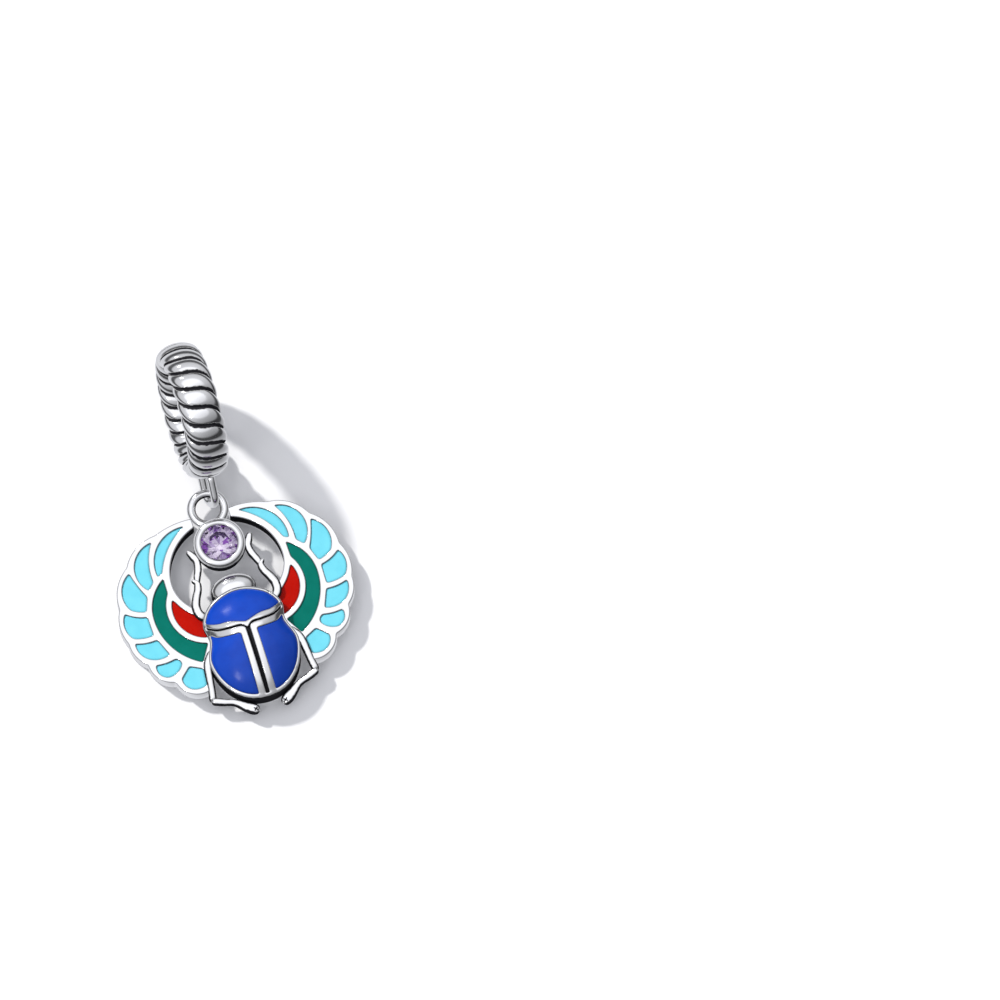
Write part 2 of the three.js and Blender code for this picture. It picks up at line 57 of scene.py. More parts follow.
# Plate and enamel: heights over the back, roundings of the edges and the painted shade on their walls and lips, and
# the spacing of points along outlines
PLATE_TOP = 1.3
CELL_FLOOR = 0.85
ENAMEL_TOP = 1.2
ENAMEL_EDGE_DROP = 0.035
ENAMEL_EDGE_WIDTH = 0.12
ENAMEL_EDGE_SHARES = (0.35, 1.0)
FIT_GAP = 0.012
BACK_ROUNDING = 0.1
TOP_ROUNDING = 0.09
LIP_ROUNDING = 0.05
EDGE_STEPS = 4
OUTER_WALL_SHADE = 0.1
CELL_LIP_SHADE = 0.7
SPACING = 0.08
CORNER_PASSES = 3
MITRE_LIMIT = 0.35
FOLD_LIMIT = 0.998

# Opening around the stone: two half ellipses on one width, with the silver rim beside it
OPENING_HALF_WIDTH = 3.95
OPENING_RISE = 3.75
OPENING_DROP = 3.1
RIM_WIDTH = 0.43
WING_TIP_X = 1.3
OPENING_LOW_Y = -2.6
OPENING_WALL = 1.06

# Outer edge of the right wing from the eyelet down. Each entry is a notch between two feathers and the swell of the
# scallop that follows it, so (x, y, swell). The wing then runs back under the leg and the beetle.
WING_EDGE = [
    (1.3, 4.22, 0.17), (4.05, 3.82, 0.42), (6.6, 2.17, 0.4), (7.94, -0.55, 0.3),
    (8.05, -3.09, 0.25), (7.22, -4.93, 0.42), (5.78, -6.7, 0.5), (3.75, -8.0, 0),
    (3.5, -7.2, 0), (3.3, -6.2, 0), (2.2, -5.6, 0), (1.8, -3.4, 0),
]

# Feather cells of the right wing from the eyelet down, walked clockwise. Each corner is (x, y, swell), where swell is
# how far the edge to the next corner bows outwards.
FEATHERS = [
    [(1.97, 3.83, 0.99), (4.73, 0.9, 0), (4.37, 1.05, -0.34)],
    [(4.43, 3.4, 1.1), (5.6, 0.14, 0), (5.13, 0.62, -0.25)],
    [(6.54, 1.72, 0.57), (7.2, -0.83, 0.07), (6.2, -1.27, 0), (5.84, -0.27, -0.07)],
    [(7.67, -0.97, 0.33), (7.6, -2.85, 0.09), (6.22, -3.03, 0), (6.25, -1.64, -0.12)],
    [(7.62, -3.22, 0.25), (6.9, -4.63, 0.15), (5.56, -4.67, 0), (6.08, -3.4, -0.1)],
    [(6.7, -5.13, 0.28), (6.1, -6.22, 0.2), (4.95, -5.53, 0.08), (5.28, -5.08, -0.08)],
    [(4.55, -5.88, 0), (5.3, -6.58, 0.26), (4.5, -7.61, 0.05), (3.75, -7.5, 0), (3.65, -6.33, 0)],
]

# Colour bands inside the feathers: the green band swells from one arc into a wider one at its widest line
BAND_LINE = -2.0
GREEN_REACH = 5.88
GREEN_UPPER_RADIUS = 3.13
GREEN_LOWER_RADIUS = 4.4
GREEN_TIP = math.radians(58)
GREEN_END = math.radians(-62)
BAND_CENTRE_X = 2.15
GREEN_INNER_RADIUS = 2.75
RED_OUTER_RADIUS = 2.36
BAND_CORNER = math.radians(34)
RED_TIP = math.radians(25)
BAND_END = math.radians(-76)
RED_LOW_Y = -2.9
RED_HIGH_Y = -1.1

# Beetle: right half of its outline from head to tail, and the dome on it, whose edge rounds off into the wall
BODY_SIDE = [
    (0, -1.62), (1.1, -1.84), (2.2, -2.48), (2.83, -3.55), (2.72, -4.7), (3.2, -6.35), (2.6, -8.22),
    (1.4, -9.36), (0, -9.68),
]
BODY_CENTRE = np.array([0.0, -5.5])
BODY_RIM = 1.75
BODY_TOP = 3.15
BODY_ROUNDNESS = 0.8
BODY_INSET = 0.947
BODY_EDGE_DROP = 0.12
BODY_COVER = 0.993
BODY_LIP = 0.06
BODY_CELL_DEPTH = 0.28
BODY_GRID = 0.16
# Shares of the wall's height between which it is painted dark, as oxide together with painted shade
BODY_WALL_DARK = (0.15, 0.93)
BODY_WALL_LEAN = 0.03
BODY_RIM_OXIDE = 0.25
# Painted shade along the lips of the beetle's pockets and groove
BODY_LIP_SHADE = 0.8
BODY_ENAMEL_EDGE = ((0, 0.09), (0.04, 0.06), (0.1, 0.045), (0.2, 0.035))
SHOULDER_X = BODY_SIDE[3][0]

# Lines across the beetle's back from its middle out to its side: the seam between pronotum and wing cases, and the
# edges of the enamel on both sides of it. The middle groove parts the wing cases.
SEAM_LINE = [(0, -4.98), (0.36, -4.65), (1.15, -4.56), (2.0, -4.37), (2.65, -3.9), (3.5, -3.1)]
PRONOTUM_EDGE = [(0, -4.48), (0.3, -4.375), (1.1, -4.1), (1.9, -3.97), (2.45, -3.7), (3.5, -3.0)]
ELYTRON_EDGE = [(0.57, -5.13), (1.46, -5.02), (2.16, -4.81), (2.5, -4.5), (3.5, -3.6)]
SEAM_HALF_WIDTH = 0.075
MIDLINE_HALF_WIDTH = 0.14
MIDLINE_END = -9.5
SEAM_REACH = 0.95

# Head: an oval dome on a straight wall, with painted shade on the wall and the lower dome that fades out the higher
# up the dome
HEAD_Y = -1.42
HEAD_HALF_WIDTH = 1.58
HEAD_LENGTH = 1.04
HEAD_RIM = 0.95
HEAD_TOP = 1.85
HEAD_FOOT_SCALE, HEAD_FOOT_HEIGHT = 0.95, 0.08
HEAD_STEPS, HEAD_RINGS = 72, 14
HEAD_SHADE, HEAD_SHADE_FALL = 1.2, 2

# Limbs of the right side: the route of the middle line as (x, y, z), and half widths and half heights along it
LIMBS = [
    {
        "route": [(2.45, -3.0, 1.2), (2.8, -2.55, 1.3), (2.86, -2.0, 1.3), (2.66, -1.4, 1.25), (2.36, -0.8, 1.2),
                  (2.3, -0.35, 1.2), (2.6, -0.06, 1.2)],
        "half_widths": [0.28, 0.32, 0.32, 0.3, 0.28, 0.26, 0.1],
        "half_heights": [0.3, 0.3, 0.3, 0.28],
    },
    {
        "route": [(2.34, -0.5, 1.2), (2.14, 0.1, 1.2), (1.93, 0.6, 1.2), (1.86, 1.2, 1.2), (2.05, 1.65, 1.2),
                  (2.28, 2.06, 1.2)],
        "half_widths": [0.18, 0.25, 0.27, 0.26, 0.28, 0.16],
        "half_heights": [0.26, 0.26, 0.22],
    },
    {
        "route": [(2.75, -5.35, 1.25), (3.3, -6.15, 1.2), (3.48, -7.2, 1.15), (3.58, -8.0, 1.05),
                  (3.72, -8.74, 0.95)],
        "half_widths": [0.27, 0.3, 0.28, 0.26, 0.27],
        "half_heights": [0.35, 0.35, 0.35, 0.33],
    },
    {
        "route": [(3.82, -8.66, 0.95), (3.0, -8.98, 0.9), (2.3, -9.22, 0.85), (1.6, -9.74, 0.8),
                  (0.84, -10.21, 0.75)],
        "half_widths": [0.24, 0.26, 0.22, 0.24, 0.32, 0.4, 0.36],
        "half_heights": [0.3, 0.28, 0.28],
    },
]
LIMB_SIDES = 24
LIMB_SPACING = 0.07
LIMB_SQUARENESS = 2.8
LIMB_END_SCALE = 0.25
# Limbs are painted dark on their sides and bright on top and underneath, as oxide together with painted shade; the
# change lies between these shares of the half height
LIMB_TONE_EDGE = (0.78, 0.96)

# Crossed notch on each hind foot
FOOT_NOTCH_PLACE = (1.06, -10.08)
FOOT_NOTCH_SIZE = np.array([0.34, 0.09])
FOOT_NOTCH_LEAN = math.radians(42)
FOOT_NOTCH_HEIGHTS = (0.92, 1.3)

# Stone in its bezel cup: the cup as radius and height pairs, the stone's cut, and for each facet a pale or deep
# colour painted on as the stone's sparkle
STONE_Y = 1.8
BEZEL_PROFILE = [
    (0.9, 0.35), (1.62, 0.35), (1.8, 1.2), (1.82, 1.7), (1.66, 1.98), (1.42, 2.06), (1.24, 1.95), (1.24, 1.84),
    (1.4, 1.8), (1.4, 1.64), (0.9, 1.1),
]
BEZEL_SPACING = 0.05
BEZEL_STEPS = 80
# The cup's outer wall is painted dark below these heights, and its inner wall below the lip, as oxide together with
# painted shade
BEZEL_TONE_EDGE = (1.66, 1.84)
BEZEL_BACK = 0.42
BEZEL_WALL_RADIUS = 1.3
BEZEL_LIP_LOW = 1.75
GIRDLE_RADIUS = 1.36
GIRDLE_LOW, GIRDLE_HIGH = 1.68, 1.72
TABLE_RADIUS, TABLE_HEIGHT = 0.75, 2.1
STAR_RADIUS = 1.06
PAVILION_RADIUS = 0.36
CULET_HEIGHT = 0.55
STONE_FOLDS = 8
FACET_SPARKLE_SHADES = {"table": 0.05, "star": 0.45, "kite": (0.95, 0.6), "girdle": (1.0, 0.7), "pavilion": 0.3}

# Eyelet, with painted shade on the inner side of its wire
EYELET = np.array([0.0, 4.55, 1.15])
EYELET_RADIUS = 1.15
EYELET_WIRE = 0.3
EYELET_STEPS, EYELET_SIDES = 72, 24
EYELET_TONE_EDGE = (0.6, 0.95)

# Bail: a twisted ring with an oval eye, which hangs around the eyelet's wire. The ring leans sideways.
RING_OUTER, RING_INNER = 4.8, 3.0
RING_HALF_WIDTH = 1.45
ROPE_RIDGES = 22
ROPE_STRANDS = 3
ROPE_START = 0.5
ROPE_GROOVE = 0.22
ROPE_FULLNESS = 0.62
# Share of the way out from a ridge's middle over which the grooves between ridges are painted dark, as oxide together
# with painted shade
ROPE_TONE_EDGE = (0.55, 0.92)
ROPE_SIDE_TWIST = 0.7
ROPE_STEPS_PER_RIDGE, ROPE_SIDES = 16, 60
EYE_WIRE = 0.28
EYE_BEND = 0.78
EYE_NEAR, EYE_REACH = 5.1, 6.15
EYE_TWIST = math.radians(14)
EYE_STEPS, EYE_SIDES = 96, 20
BAIL_TURN = math.radians(0.6)
BAIL_TILT = math.radians(5)
LINK_PLACE = math.radians(22.7)

# Row of short strokes pressed into the back, on the tail
STROKE_COUNT = 5
STROKE_SIZE = np.array([0.13, 0.55])
STROKE_STEP = 0.36
STROKE_LEAN = math.radians(24)
STROKE_DEPTH = 0.07
STROKE_Y = -7.6
STROKE_OXIDE = 0.8

# Camera, as the photograph sees the charm
CAMERA_PLACE = (-42.1, -194.0, 660.6)
CAMERA_DROP = math.radians(72.92)
CAMERA_TURN = math.radians(17.67)
CAMERA_LENS = 360
CAMERA_CLIP = 0.01

# Light: a sun from the far left, a sky whose strength goes by height over the horizon, and two softboxes
SUN_WAY = (0.443, -0.662, -0.605)
SUN_STRENGTH = 3.1
SUN_ANGLE = math.radians(4)
SUN_COLOUR = (1.0, 0.985, 0.955)
SKY_STOPS = [
    (-1.0, 0.75), (-0.4, 0.68), (-0.15, 0.1), (0.12, 0.1), (0.34, 0.62), (0.7, 0.7), (0.84, 1.12),
]
SKY_STRENGTH = 1.02
SKY_COLOUR = np.array([0.93, 0.945, 1.0])
SKY_DIMMING = 0.6
SOFTBOX_WAYS = [(-0.238, 0.84, 0.487), (-0.586, -0.332, 0.739)]
SOFTBOX_DISTANCE = 0.3
SOFTBOX_SIZE = 0.036
SOFTBOX_POWER = 0.045
FLOOR_HALF_SIZE = 2.0
FLOOR_GAP = 0.02
FLOOR_COLOUR = (0.85, 0.85, 0.86, 1)
FLOOR_ROUGHNESS = 0.7
FLOOR_SPECULAR = 0.1

# Colours of silver, of the dark oxide and painted shade on it, and of the stone, whose pale and deep tints are spread
# over its facets as painted sparkle; and the enamels with name, pale and deep colour, roughness and specular level
SILVER_TINTS = (0.93, 0.925, 0.92), (0.985, 0.98, 0.975)
OXIDE_AND_SHADE_COLOUR = (0.02, 0.02, 0.023)
STONE_TINTS = (0.94, 0.82, 0.98), (0.05, 0.005, 0.14)
STONE_SHINE = (0.35, 0.25, 0.5, 1)
STONE_IOR = 2.15
ENAMELS = {
    "feather": ("turquoise_enamel", (0.165, 0.62, 0.75), (0.145, 0.585, 0.71), 0.12, 0.1),
    "green": ("green_enamel", (0.001, 0.155, 0.118), (0.0, 0.14, 0.104), 0.12, 0.06),
    "red": ("red_enamel", (0.44, 0.005, 0.0005), (0.4, 0.003, 0.0), 0.12, 0.06),
    "blue": ("blue_enamel", (0.004, 0.05, 0.41), (0.003, 0.043, 0.37), 0.16, 0.28),
}

# Sockets of a mix node for colours and for plain numbers: both inputs and the result
MIX_SOCKETS = {"RGBA": (6, 7, 2), "FLOAT": (2, 3, 0)}

EPSILON = 1e-6
MERGE_DISTANCE = 1e-4
WITHIN_OUTLINE = 1
SHARP_ANGLE = math.radians(52)
LEVEL_LIMIT = 0.99999


def smoothstep(low, high, value):
    share = np.clip((value - low) / (high - low), 0, 1)
    return share * share * (3 - 2 * share)


def unit(vectors):
    return vectors / np.linalg.norm(vectors, axis=-1, keepdims=True)


def catmull_rom(points, closed=False, samples=16):
    """Points along a centripetal Catmull-Rom curve through the given ones."""
    knots = np.asarray(points, float)
    if closed:
        knots = np.vstack([knots[-1:], knots, knots[:2]])
    else:
        knots = np.vstack([2 * knots[0] - knots[1], knots, 2 * knots[-1] - knots[-2]])
    curve = []
    for a, b, c, d in zip(knots, knots[1:], knots[2:], knots[3:]):
        t1 = math.sqrt(np.linalg.norm(b - a))
        t2 = t1 + math.sqrt(np.linalg.norm(c - b))
        t3 = t2 + math.sqrt(np.linalg.norm(d - c))
        t = np.linspace(t1, t2, samples, endpoint=False)[:, None]
        ab = a + (b - a) * t / t1
        bc = b + (c - b) * (t - t1) / (t2 - t1)
        cd = c + (d - c) * (t - t2) / (t3 - t2)
        abc = ab + (bc - ab) * t / t2
        bcd = bc + (cd - bc) * (t - t1) / (t3 - t1)
        curve.append(abc + (bcd - abc) * (t - t1) / (t2 - t1))
    return np.vstack(curve) if closed else np.vstack([*curve, knots[-2:-1]])


def evened(points, spacing, closed):
    """The same line with points at even distances."""
    line = np.vstack([points, points[:1]]) if closed else np.asarray(points, float)
    along = np.append(0, np.cumsum(np.linalg.norm(np.diff(line, axis=0), axis=1)))
    count = max(4, round(along[-1] / spacing) + (0 if closed else 1))
    stations = np.linspace(0, along[-1], count, endpoint=not closed)
    return np.column_stack([np.interp(stations, along, values) for values in line.T])


def softened(outline, passes):
    """A closed outline with its corners rounded off."""
    for _ in range(passes):
        outline = (np.roll(outline, 1, axis=0) + 2 * outline + np.roll(outline, -1, axis=0)) / 4
    return outline


def counter_clockwise(outline):
    x, y = outline.T
    area = np.sum(x * np.roll(y, -1) - np.roll(x, -1) * y)
    return outline if area > 0 else outline[::-1]


def tidy_outline(points, passes=CORNER_PASSES):
    return softened(evened(counter_clockwise(np.asarray(points, float)), SPACING, True), passes)


def gaps_to(points, outline):
    """How far points lie from a closed outline."""
    ways = np.roll(outline, -1, axis=0) - outline
    offsets = points[:, None] - outline[None]
    shares = np.clip(np.sum(offsets * ways, axis=2) / np.sum(ways * ways, axis=1), 0, 1)
    return np.linalg.norm(offsets - shares[..., None] * ways, axis=2).min(axis=1)


def grown(outline, distance):
    """A counter-clockwise outline moved out by a distance, or in where the distance is negative. Points that the move
    would fold over each other gather at the nearest corner."""
    before = unit(outline - np.roll(outline, 1, axis=0))
    after = unit(np.roll(outline, -1, axis=0) - outline)
    way = unit(before + after)
    stretch = np.maximum(MITRE_LIMIT, np.sum(way * before, axis=1))
    moved = outline + np.column_stack([way[:, 1], -way[:, 0]]) * (distance / stretch)[:, None]
    count = len(outline)
    kept = np.flatnonzero(gaps_to(moved, outline) > FOLD_LIMIT * abs(distance) - EPSILON)
    steps = np.abs(np.arange(count)[:, None] - kept[None])
    return moved[kept[np.minimum(steps, count - steps).argmin(axis=1)]]


def inside(points, outline):
    """Which points lie inside a closed outline."""
    x, y = points[:, :1], points[:, 1:2]
    (x0, y0), (x1, y1) = outline.T, np.roll(outline, -1, axis=0).T
    crosses = (y0 > y) != (y1 > y)
    run = np.where(y1 == y0, EPSILON, y1 - y0)
    return np.sum(crosses & (x < x0 + (y - y0) * (x1 - x0) / run), axis=1) % 2 == 1


def grid_inside(outline, holes=()):
    """Points of a square grid inside an outline and outside its holes, with a margin kept to all of them."""
    low, high = outline.min(axis=0), outline.max(axis=0)
    columns, rows = (np.arange(a, b, BODY_GRID) for a, b in zip(low, high))
    points = np.stack(np.meshgrid(columns, rows), axis=-1).reshape(-1, 2)
    kept = inside(points, outline)
    for hole in holes:
        kept &= ~inside(points, hole)
    points = points[kept]
    for ring in [outline, *holes]:
        gaps = np.linalg.norm(points[:, None] - ring[None], axis=2).min(axis=1)
        points = points[gaps > BODY_GRID / 2]
    return points


class Build:
    """A closed mesh in the making: points in millimetres, faces, and how dark the silver is painted at each point, as
    oxide together with painted shade.
    """

    def __init__(self):
        self.points = np.zeros((0, 3))
        self.tones = np.zeros(0)
        self.faces = []

    def add(self, points, tone=0.0):
        start = len(self.points)
        self.points = np.vstack([self.points, points])
        self.tones = np.append(self.tones, np.broadcast_to(tone, len(points)))
        return np.arange(start, len(self.points))

    def ring(self, outline, height, tone=0.0):
        return self.add(np.column_stack([outline, np.broadcast_to(height, len(outline))]), tone)

    def bands(self, rings):
        """Quads from each ring to the next. Counter-clockwise rings from low to high face out."""
        for low, high in zip(rings, rings[1:]):
            self.faces.extend(zip(low, np.roll(low, -1), np.roll(high, -1), high))

    def cap(self, ring, up=True):
        self.faces.append(tuple(ring if up else ring[::-1]))

    def cover(self, outer, holes=(), extra=(), up=True):
        """Triangles in the plan of an outer ring, around its holes and through extra points."""
        rings = [outer, *holes]
        ids = np.concatenate([*rings, np.asarray(extra, int)])
        edges = []
        start = 0
        for ring in rings:
            places = np.arange(start, start + len(ring))
            edges += zip(places.tolist(), np.roll(places, -1).tolist())
            start += len(ring)
        plan = [Vector(p) for p in self.points[ids, :2]]
        result = delaunay_2d_cdt(plan, edges, [], WITHIN_OUTLINE, EPSILON)
        triangles = result[2]
        fences = {frozenset(edge) for edge, sources in zip(result[1], result[4]) if sources}
        corners = [[ids[result[3][vertex][0]] for vertex in triangle] for triangle in triangles]
        in_hole = self.behind_fences(triangles, corners, fences, holes)
        for k, triangle in enumerate(corners):
            if k not in in_hole:
                self.faces.append(tuple(triangle if up else triangle[::-1]))

    def behind_fences(self, triangles, corners, fences, holes):
        """Numbers of the triangles inside the holes. Each hole is filled from its largest triangle to its edge."""
        sides = [[frozenset(edge) for edge in zip(t, [*t[1:], t[0]])] for t in triangles]
        neighbours = {}
        for k, edges in enumerate(sides):
            for edge in edges:
                neighbours.setdefault(edge, []).append(k)
        plans = self.points[np.array(corners), :2]
        (ax, ay), (bx, by) = (plans[:, 1] - plans[:, 0]).T, (plans[:, 2] - plans[:, 0]).T
        areas = np.abs(ax * by - ay * bx)
        found = set()
        for hole in holes:
            waiting = [int(np.argmax(areas * inside(plans.mean(axis=1), self.points[hole, :2])))]
            while waiting:
                k = waiting.pop()
                if k not in found:
                    found.add(k)
                    waiting += [n for edge in sides[k] if edge not in fences for n in neighbours[edge]]
        return found

    def mirrored(self):
        twin = Build()
        twin.points = self.points * (-1, 1, 1)
        twin.tones = self.tones
        twin.faces = [face[::-1] for face in self.faces]
        return twin

    def object(self, name):
        mesh = bpy.data.meshes.new(name)
        mesh.from_pydata(self.points.tolist(), [], [tuple(int(i) for i in face) for face in self.faces])
        corners = np.zeros(len(mesh.loops), dtype=np.int32)
        mesh.loops.foreach_get("vertex_index", corners)
        # How dark each corner is painted: oxide together with painted shade.
        oxide_and_shade = mesh.attributes.new("oxide_and_shade", "FLOAT", "CORNER")
        oxide_and_shade.data.foreach_set("value", self.tones[corners].astype(np.float32))
        cleaner = bmesh.new()
        cleaner.from_mesh(mesh)
        bmesh.ops.remove_doubles(cleaner, verts=cleaner.verts, dist=MERGE_DISTANCE)
        cleaner.to_mesh(mesh)
        cleaner.free()
        obj = bpy.data.objects.new(name, mesh)
        bpy.context.scene.collection.objects.link(obj)
        return obj


def combined(operation, base, others):
    """The first object joined with the others or cut by them, as one closed mesh."""
    for other in others:
        modifier = base.modifiers.new(operation, "BOOLEAN")
        modifier.operation = operation
        modifier.solver = "MANIFOLD"
        modifier.object = other
    depsgraph = bpy.context.evaluated_depsgraph_get()
    mesh = bpy.data.meshes.new_from_object(base.evaluated_get(depsgraph))
    base.modifiers.clear()
    base.data = mesh
    return base


def discard(objects):
    for obj in objects:
        bpy.data.objects.remove(obj)


def rounded_edge(reach, rounding):
    """Steps over a rounded edge, as distance in from the wall and depth under the top, from the wall up."""
    angles = np.linspace(0, math.pi / 2, EDGE_STEPS)
    return [(reach + rounding * (1 - math.cos(a)), rounding * (1 - math.sin(a))) for a in angles]


def arc(start, end, swell):
    """Points of an arc from one corner up to the next, bowed to the left of the way by the swell."""
    start, end = np.array(start), np.array(end)
    chord = end - start
    half = np.linalg.norm(chord) / 2
    count = max(2, round(2 * half / SPACING))
    if swell == 0:
        return np.linspace(start, end, count, endpoint=False)
    bow = abs(swell)
    radius = (half * half + bow * bow) / (2 * bow)
    sweep = 2 * math.asin(min(1, half / radius))
    angles = sweep * (np.linspace(0, 1, count, endpoint=False) - 0.5)
    along = chord / (2 * half)
    aside = np.array([-along[1], along[0]]) * math.copysign(1, swell)
    rises = radius * (np.cos(angles) - math.cos(sweep / 2))
    return (start + end) / 2 + np.outer(radius * np.sin(angles), along) + np.outer(rises, aside)


def arc_chain(corners, closed):
    """A chain of corners with swells, sampled. A closed chain goes back to its first corner."""
    following = corners[1:] + corners[:1] if closed else corners[1:]
    arcs = [arc(here[:2], there[:2], here[2]) for here, there in zip(corners, following)]
    return np.vstack(arcs if closed else [*arcs, [corners[-1][:2]]])


def band_arc(centre_x, radius, start, end):
    angles = np.linspace(start, end, max(3, round(abs(end - start) * radius / SPACING)))
    return np.column_stack([centre_x + radius * np.cos(angles), BAND_LINE + radius * np.sin(angles)])


def opening_edge(outside, low_y, high_y):
    """Points along the opening's edge, or along the rim at some distance outside it, between two heights."""
    def angle_at(y):
        return math.asin(y / ((OPENING_RISE if y > 0 else OPENING_DROP) + outside))

    start, end = angle_at(low_y), angle_at(high_y)
    angles = np.linspace(start, end, max(3, round((end - start) * OPENING_HALF_WIDTH / SPACING)))
    heights = np.where(angles > 0, OPENING_RISE, OPENING_DROP) + outside
    return np.column_stack([(OPENING_HALF_WIDTH + outside) * np.cos(angles), heights * np.sin(angles)])


def wing_outline():
    tip_y = OPENING_RISE * math.sqrt(1 - (WING_TIP_X / OPENING_HALF_WIDTH) ** 2)
    return np.vstack([arc_chain(WING_EDGE, False), opening_edge(0, OPENING_LOW_Y, tip_y)])


def green_outline():
    return np.vstack([
        band_arc(GREEN_REACH - GREEN_UPPER_RADIUS, GREEN_UPPER_RADIUS, GREEN_TIP, 0),
        band_arc(GREEN_REACH - GREEN_LOWER_RADIUS, GREEN_LOWER_RADIUS, 0, GREEN_END)[1:],
        band_arc(BAND_CENTRE_X, GREEN_INNER_RADIUS, BAND_END, BAND_CORNER),
    ])


def red_outline():
    return np.vstack([
        band_arc(BAND_CENTRE_X, RED_OUTER_RADIUS, RED_TIP, BAND_END),
        opening_edge(RIM_WIDTH, RED_LOW_Y, RED_HIGH_Y),
    ])


WING_CELLS = {"green": tidy_outline(green_outline()), "red": tidy_outline(red_outline())}
for number, feather in enumerate(FEATHERS, start=1):
    WING_CELLS[f"feather_{number}"] = tidy_outline(arc_chain(feather, True))


def wing():
    """Right wing: a plate with rounded edges and a pocket for each enamel cell."""
    build = Build()
    outline = tidy_outline(wing_outline(), passes=2)
    rise = np.where(outline[:, 1] > 0, OPENING_RISE, OPENING_DROP)
    at_opening = (outline[:, 0] / OPENING_HALF_WIDTH) ** 2 + (outline[:, 1] / rise) ** 2 < OPENING_WALL
    rings = [build.ring(grown(outline, -reach), depth)
             for reach, depth in reversed(rounded_edge(0, BACK_ROUNDING))]
    rings += [build.ring(grown(outline, -reach), PLATE_TOP - depth)
              for reach, depth in rounded_edge(0, TOP_ROUNDING)]
    # The opening's walls are painted dark, as oxide together with painted shade; the outer walls get a faint painted
    # shade.
    for ring in rings[EDGE_STEPS - 1:EDGE_STEPS + 1]:
        build.tones[ring] = np.where(at_opening, DARK, OUTER_WALL_SHADE)
    build.bands(rings)
    build.cover(rings[0], up=False)
    lips = []
    for cell in WING_CELLS.values():
        pocket = [build.ring(grown(cell, LIP_ROUNDING - reach), PLATE_TOP - depth)
                  for reach, depth in pocket_lip(LIP_ROUNDING)]
        # Painted shade along each pocket's lip, and its floor painted dark under the enamel.
        build.tones[pocket[-1]] = CELL_LIP_SHADE
        pocket.append(build.ring(cell, CELL_FLOOR, DARK))
        build.bands(pocket)
        build.cover(pocket[-1])
        lips.append(pocket[0])
    build.cover(rings[-1], lips)
    return build


def pocket_lip(rounding):
    """Steps over a pocket's rounded lip, as distance in from its outer line and depth, from the top down."""
    return [(rounding - reach, depth) for reach, depth in reversed(rounded_edge(0, rounding))]


def enamel_slab(outline):
    """Fill of a wing cell, a little lower along its edge."""
    build = Build()
    edge = grown(outline, -FIT_GAP)
    rings = [build.ring(edge, CELL_FLOOR + FIT_GAP), build.ring(edge, ENAMEL_TOP - ENAMEL_EDGE_DROP)]
    for share in ENAMEL_EDGE_SHARES:
        drop = ENAMEL_EDGE_DROP * (1 - share) ** 2
        rings.append(build.ring(grown(edge, -share * ENAMEL_EDGE_WIDTH), ENAMEL_TOP - drop))
    build.bands(rings)
    build.cover(rings[0], up=False)
    build.cover(rings[-1])
    return build


def body_outline():
    right = [np.array(p, float) for p in BODY_SIDE]
    left = [p * (-1, 1) for p in right[-2:0:-1]]
    return evened(counter_clockwise(catmull_rom(right + left, closed=True)), SPACING, True)


BODY_OUTLINE = body_outline()
BODY_ANGLES = np.arctan2(*(BODY_OUTLINE - BODY_CENTRE).T[::-1])
BODY_RADII = np.linalg.norm(BODY_OUTLINE - BODY_CENTRE, axis=1)
BODY_ORDER = np.argsort(BODY_ANGLES)


def body_scale(points):
    """How far points lie from the beetle's middle, as a share of the way to its outline."""
    away = points - BODY_CENTRE
    angles = np.arctan2(away[:, 1], away[:, 0])
    reach = np.interp(angles, BODY_ANGLES[BODY_ORDER], BODY_RADII[BODY_ORDER], period=2 * math.pi)
    return np.linalg.norm(away, axis=1) / reach


def body_height(points):
    """Height of the beetle's back. It swells up to the enamel's edge, and its rim rounds off outside that."""
    scale = body_scale(points)
    within = np.minimum(scale, BODY_INSET)
    swell = BODY_RIM + (BODY_TOP - BODY_RIM) * (1 - within * within) ** BODY_ROUNDNESS
    beyond = np.maximum(0, scale - BODY_INSET) / (1 - BODY_INSET)
    return swell - BODY_EDGE_DROP * beyond ** 2


def scaled_body(scale):
    return BODY_CENTRE + (BODY_OUTLINE - BODY_CENTRE) * scale


def across_back(line):
    """A smooth line over the right half of the back, as a function of x."""
    points = catmull_rom(line)
    return lambda x: np.interp(np.abs(x), points[:, 0], points[:, 1])


def body_fields():
    """Plans of the enamel fields on the beetle: pronotum, and right and left wing case."""
    rim = scaled_body(BODY_INSET)
    rim = np.roll(rim, -np.argmin(rim[:, 1]), axis=0)
    pronotum_edge, elytron_edge = across_back(PRONOTUM_EDGE), across_back(ELYTRON_EDGE)
    xs = np.arange(-SHOULDER_X, SHOULDER_X, SPACING / 2)
    lower = np.column_stack([xs, pronotum_edge(xs)])
    lower = lower[body_scale(lower) < BODY_INSET]
    pronotum = np.vstack([rim[rim[:, 1] > pronotum_edge(rim[:, 0])], lower])
    inner_x = ELYTRON_EDGE[0][0]
    xs = np.arange(SHOULDER_X, inner_x, -SPACING / 2)
    upper = np.column_stack([xs, elytron_edge(xs)])
    upper = upper[body_scale(upper) < BODY_INSET]
    side = rim[(rim[:, 0] > inner_x) & (rim[:, 1] < elytron_edge(rim[:, 0]))]
    elytron = np.vstack([side, upper, [(inner_x, elytron_edge(inner_x))]])
    right = tidy_outline(elytron)
    return {"pronotum": tidy_outline(pronotum), "right": right, "left": right[::-1] * (-1, 1)}


BODY_FIELDS = body_fields()


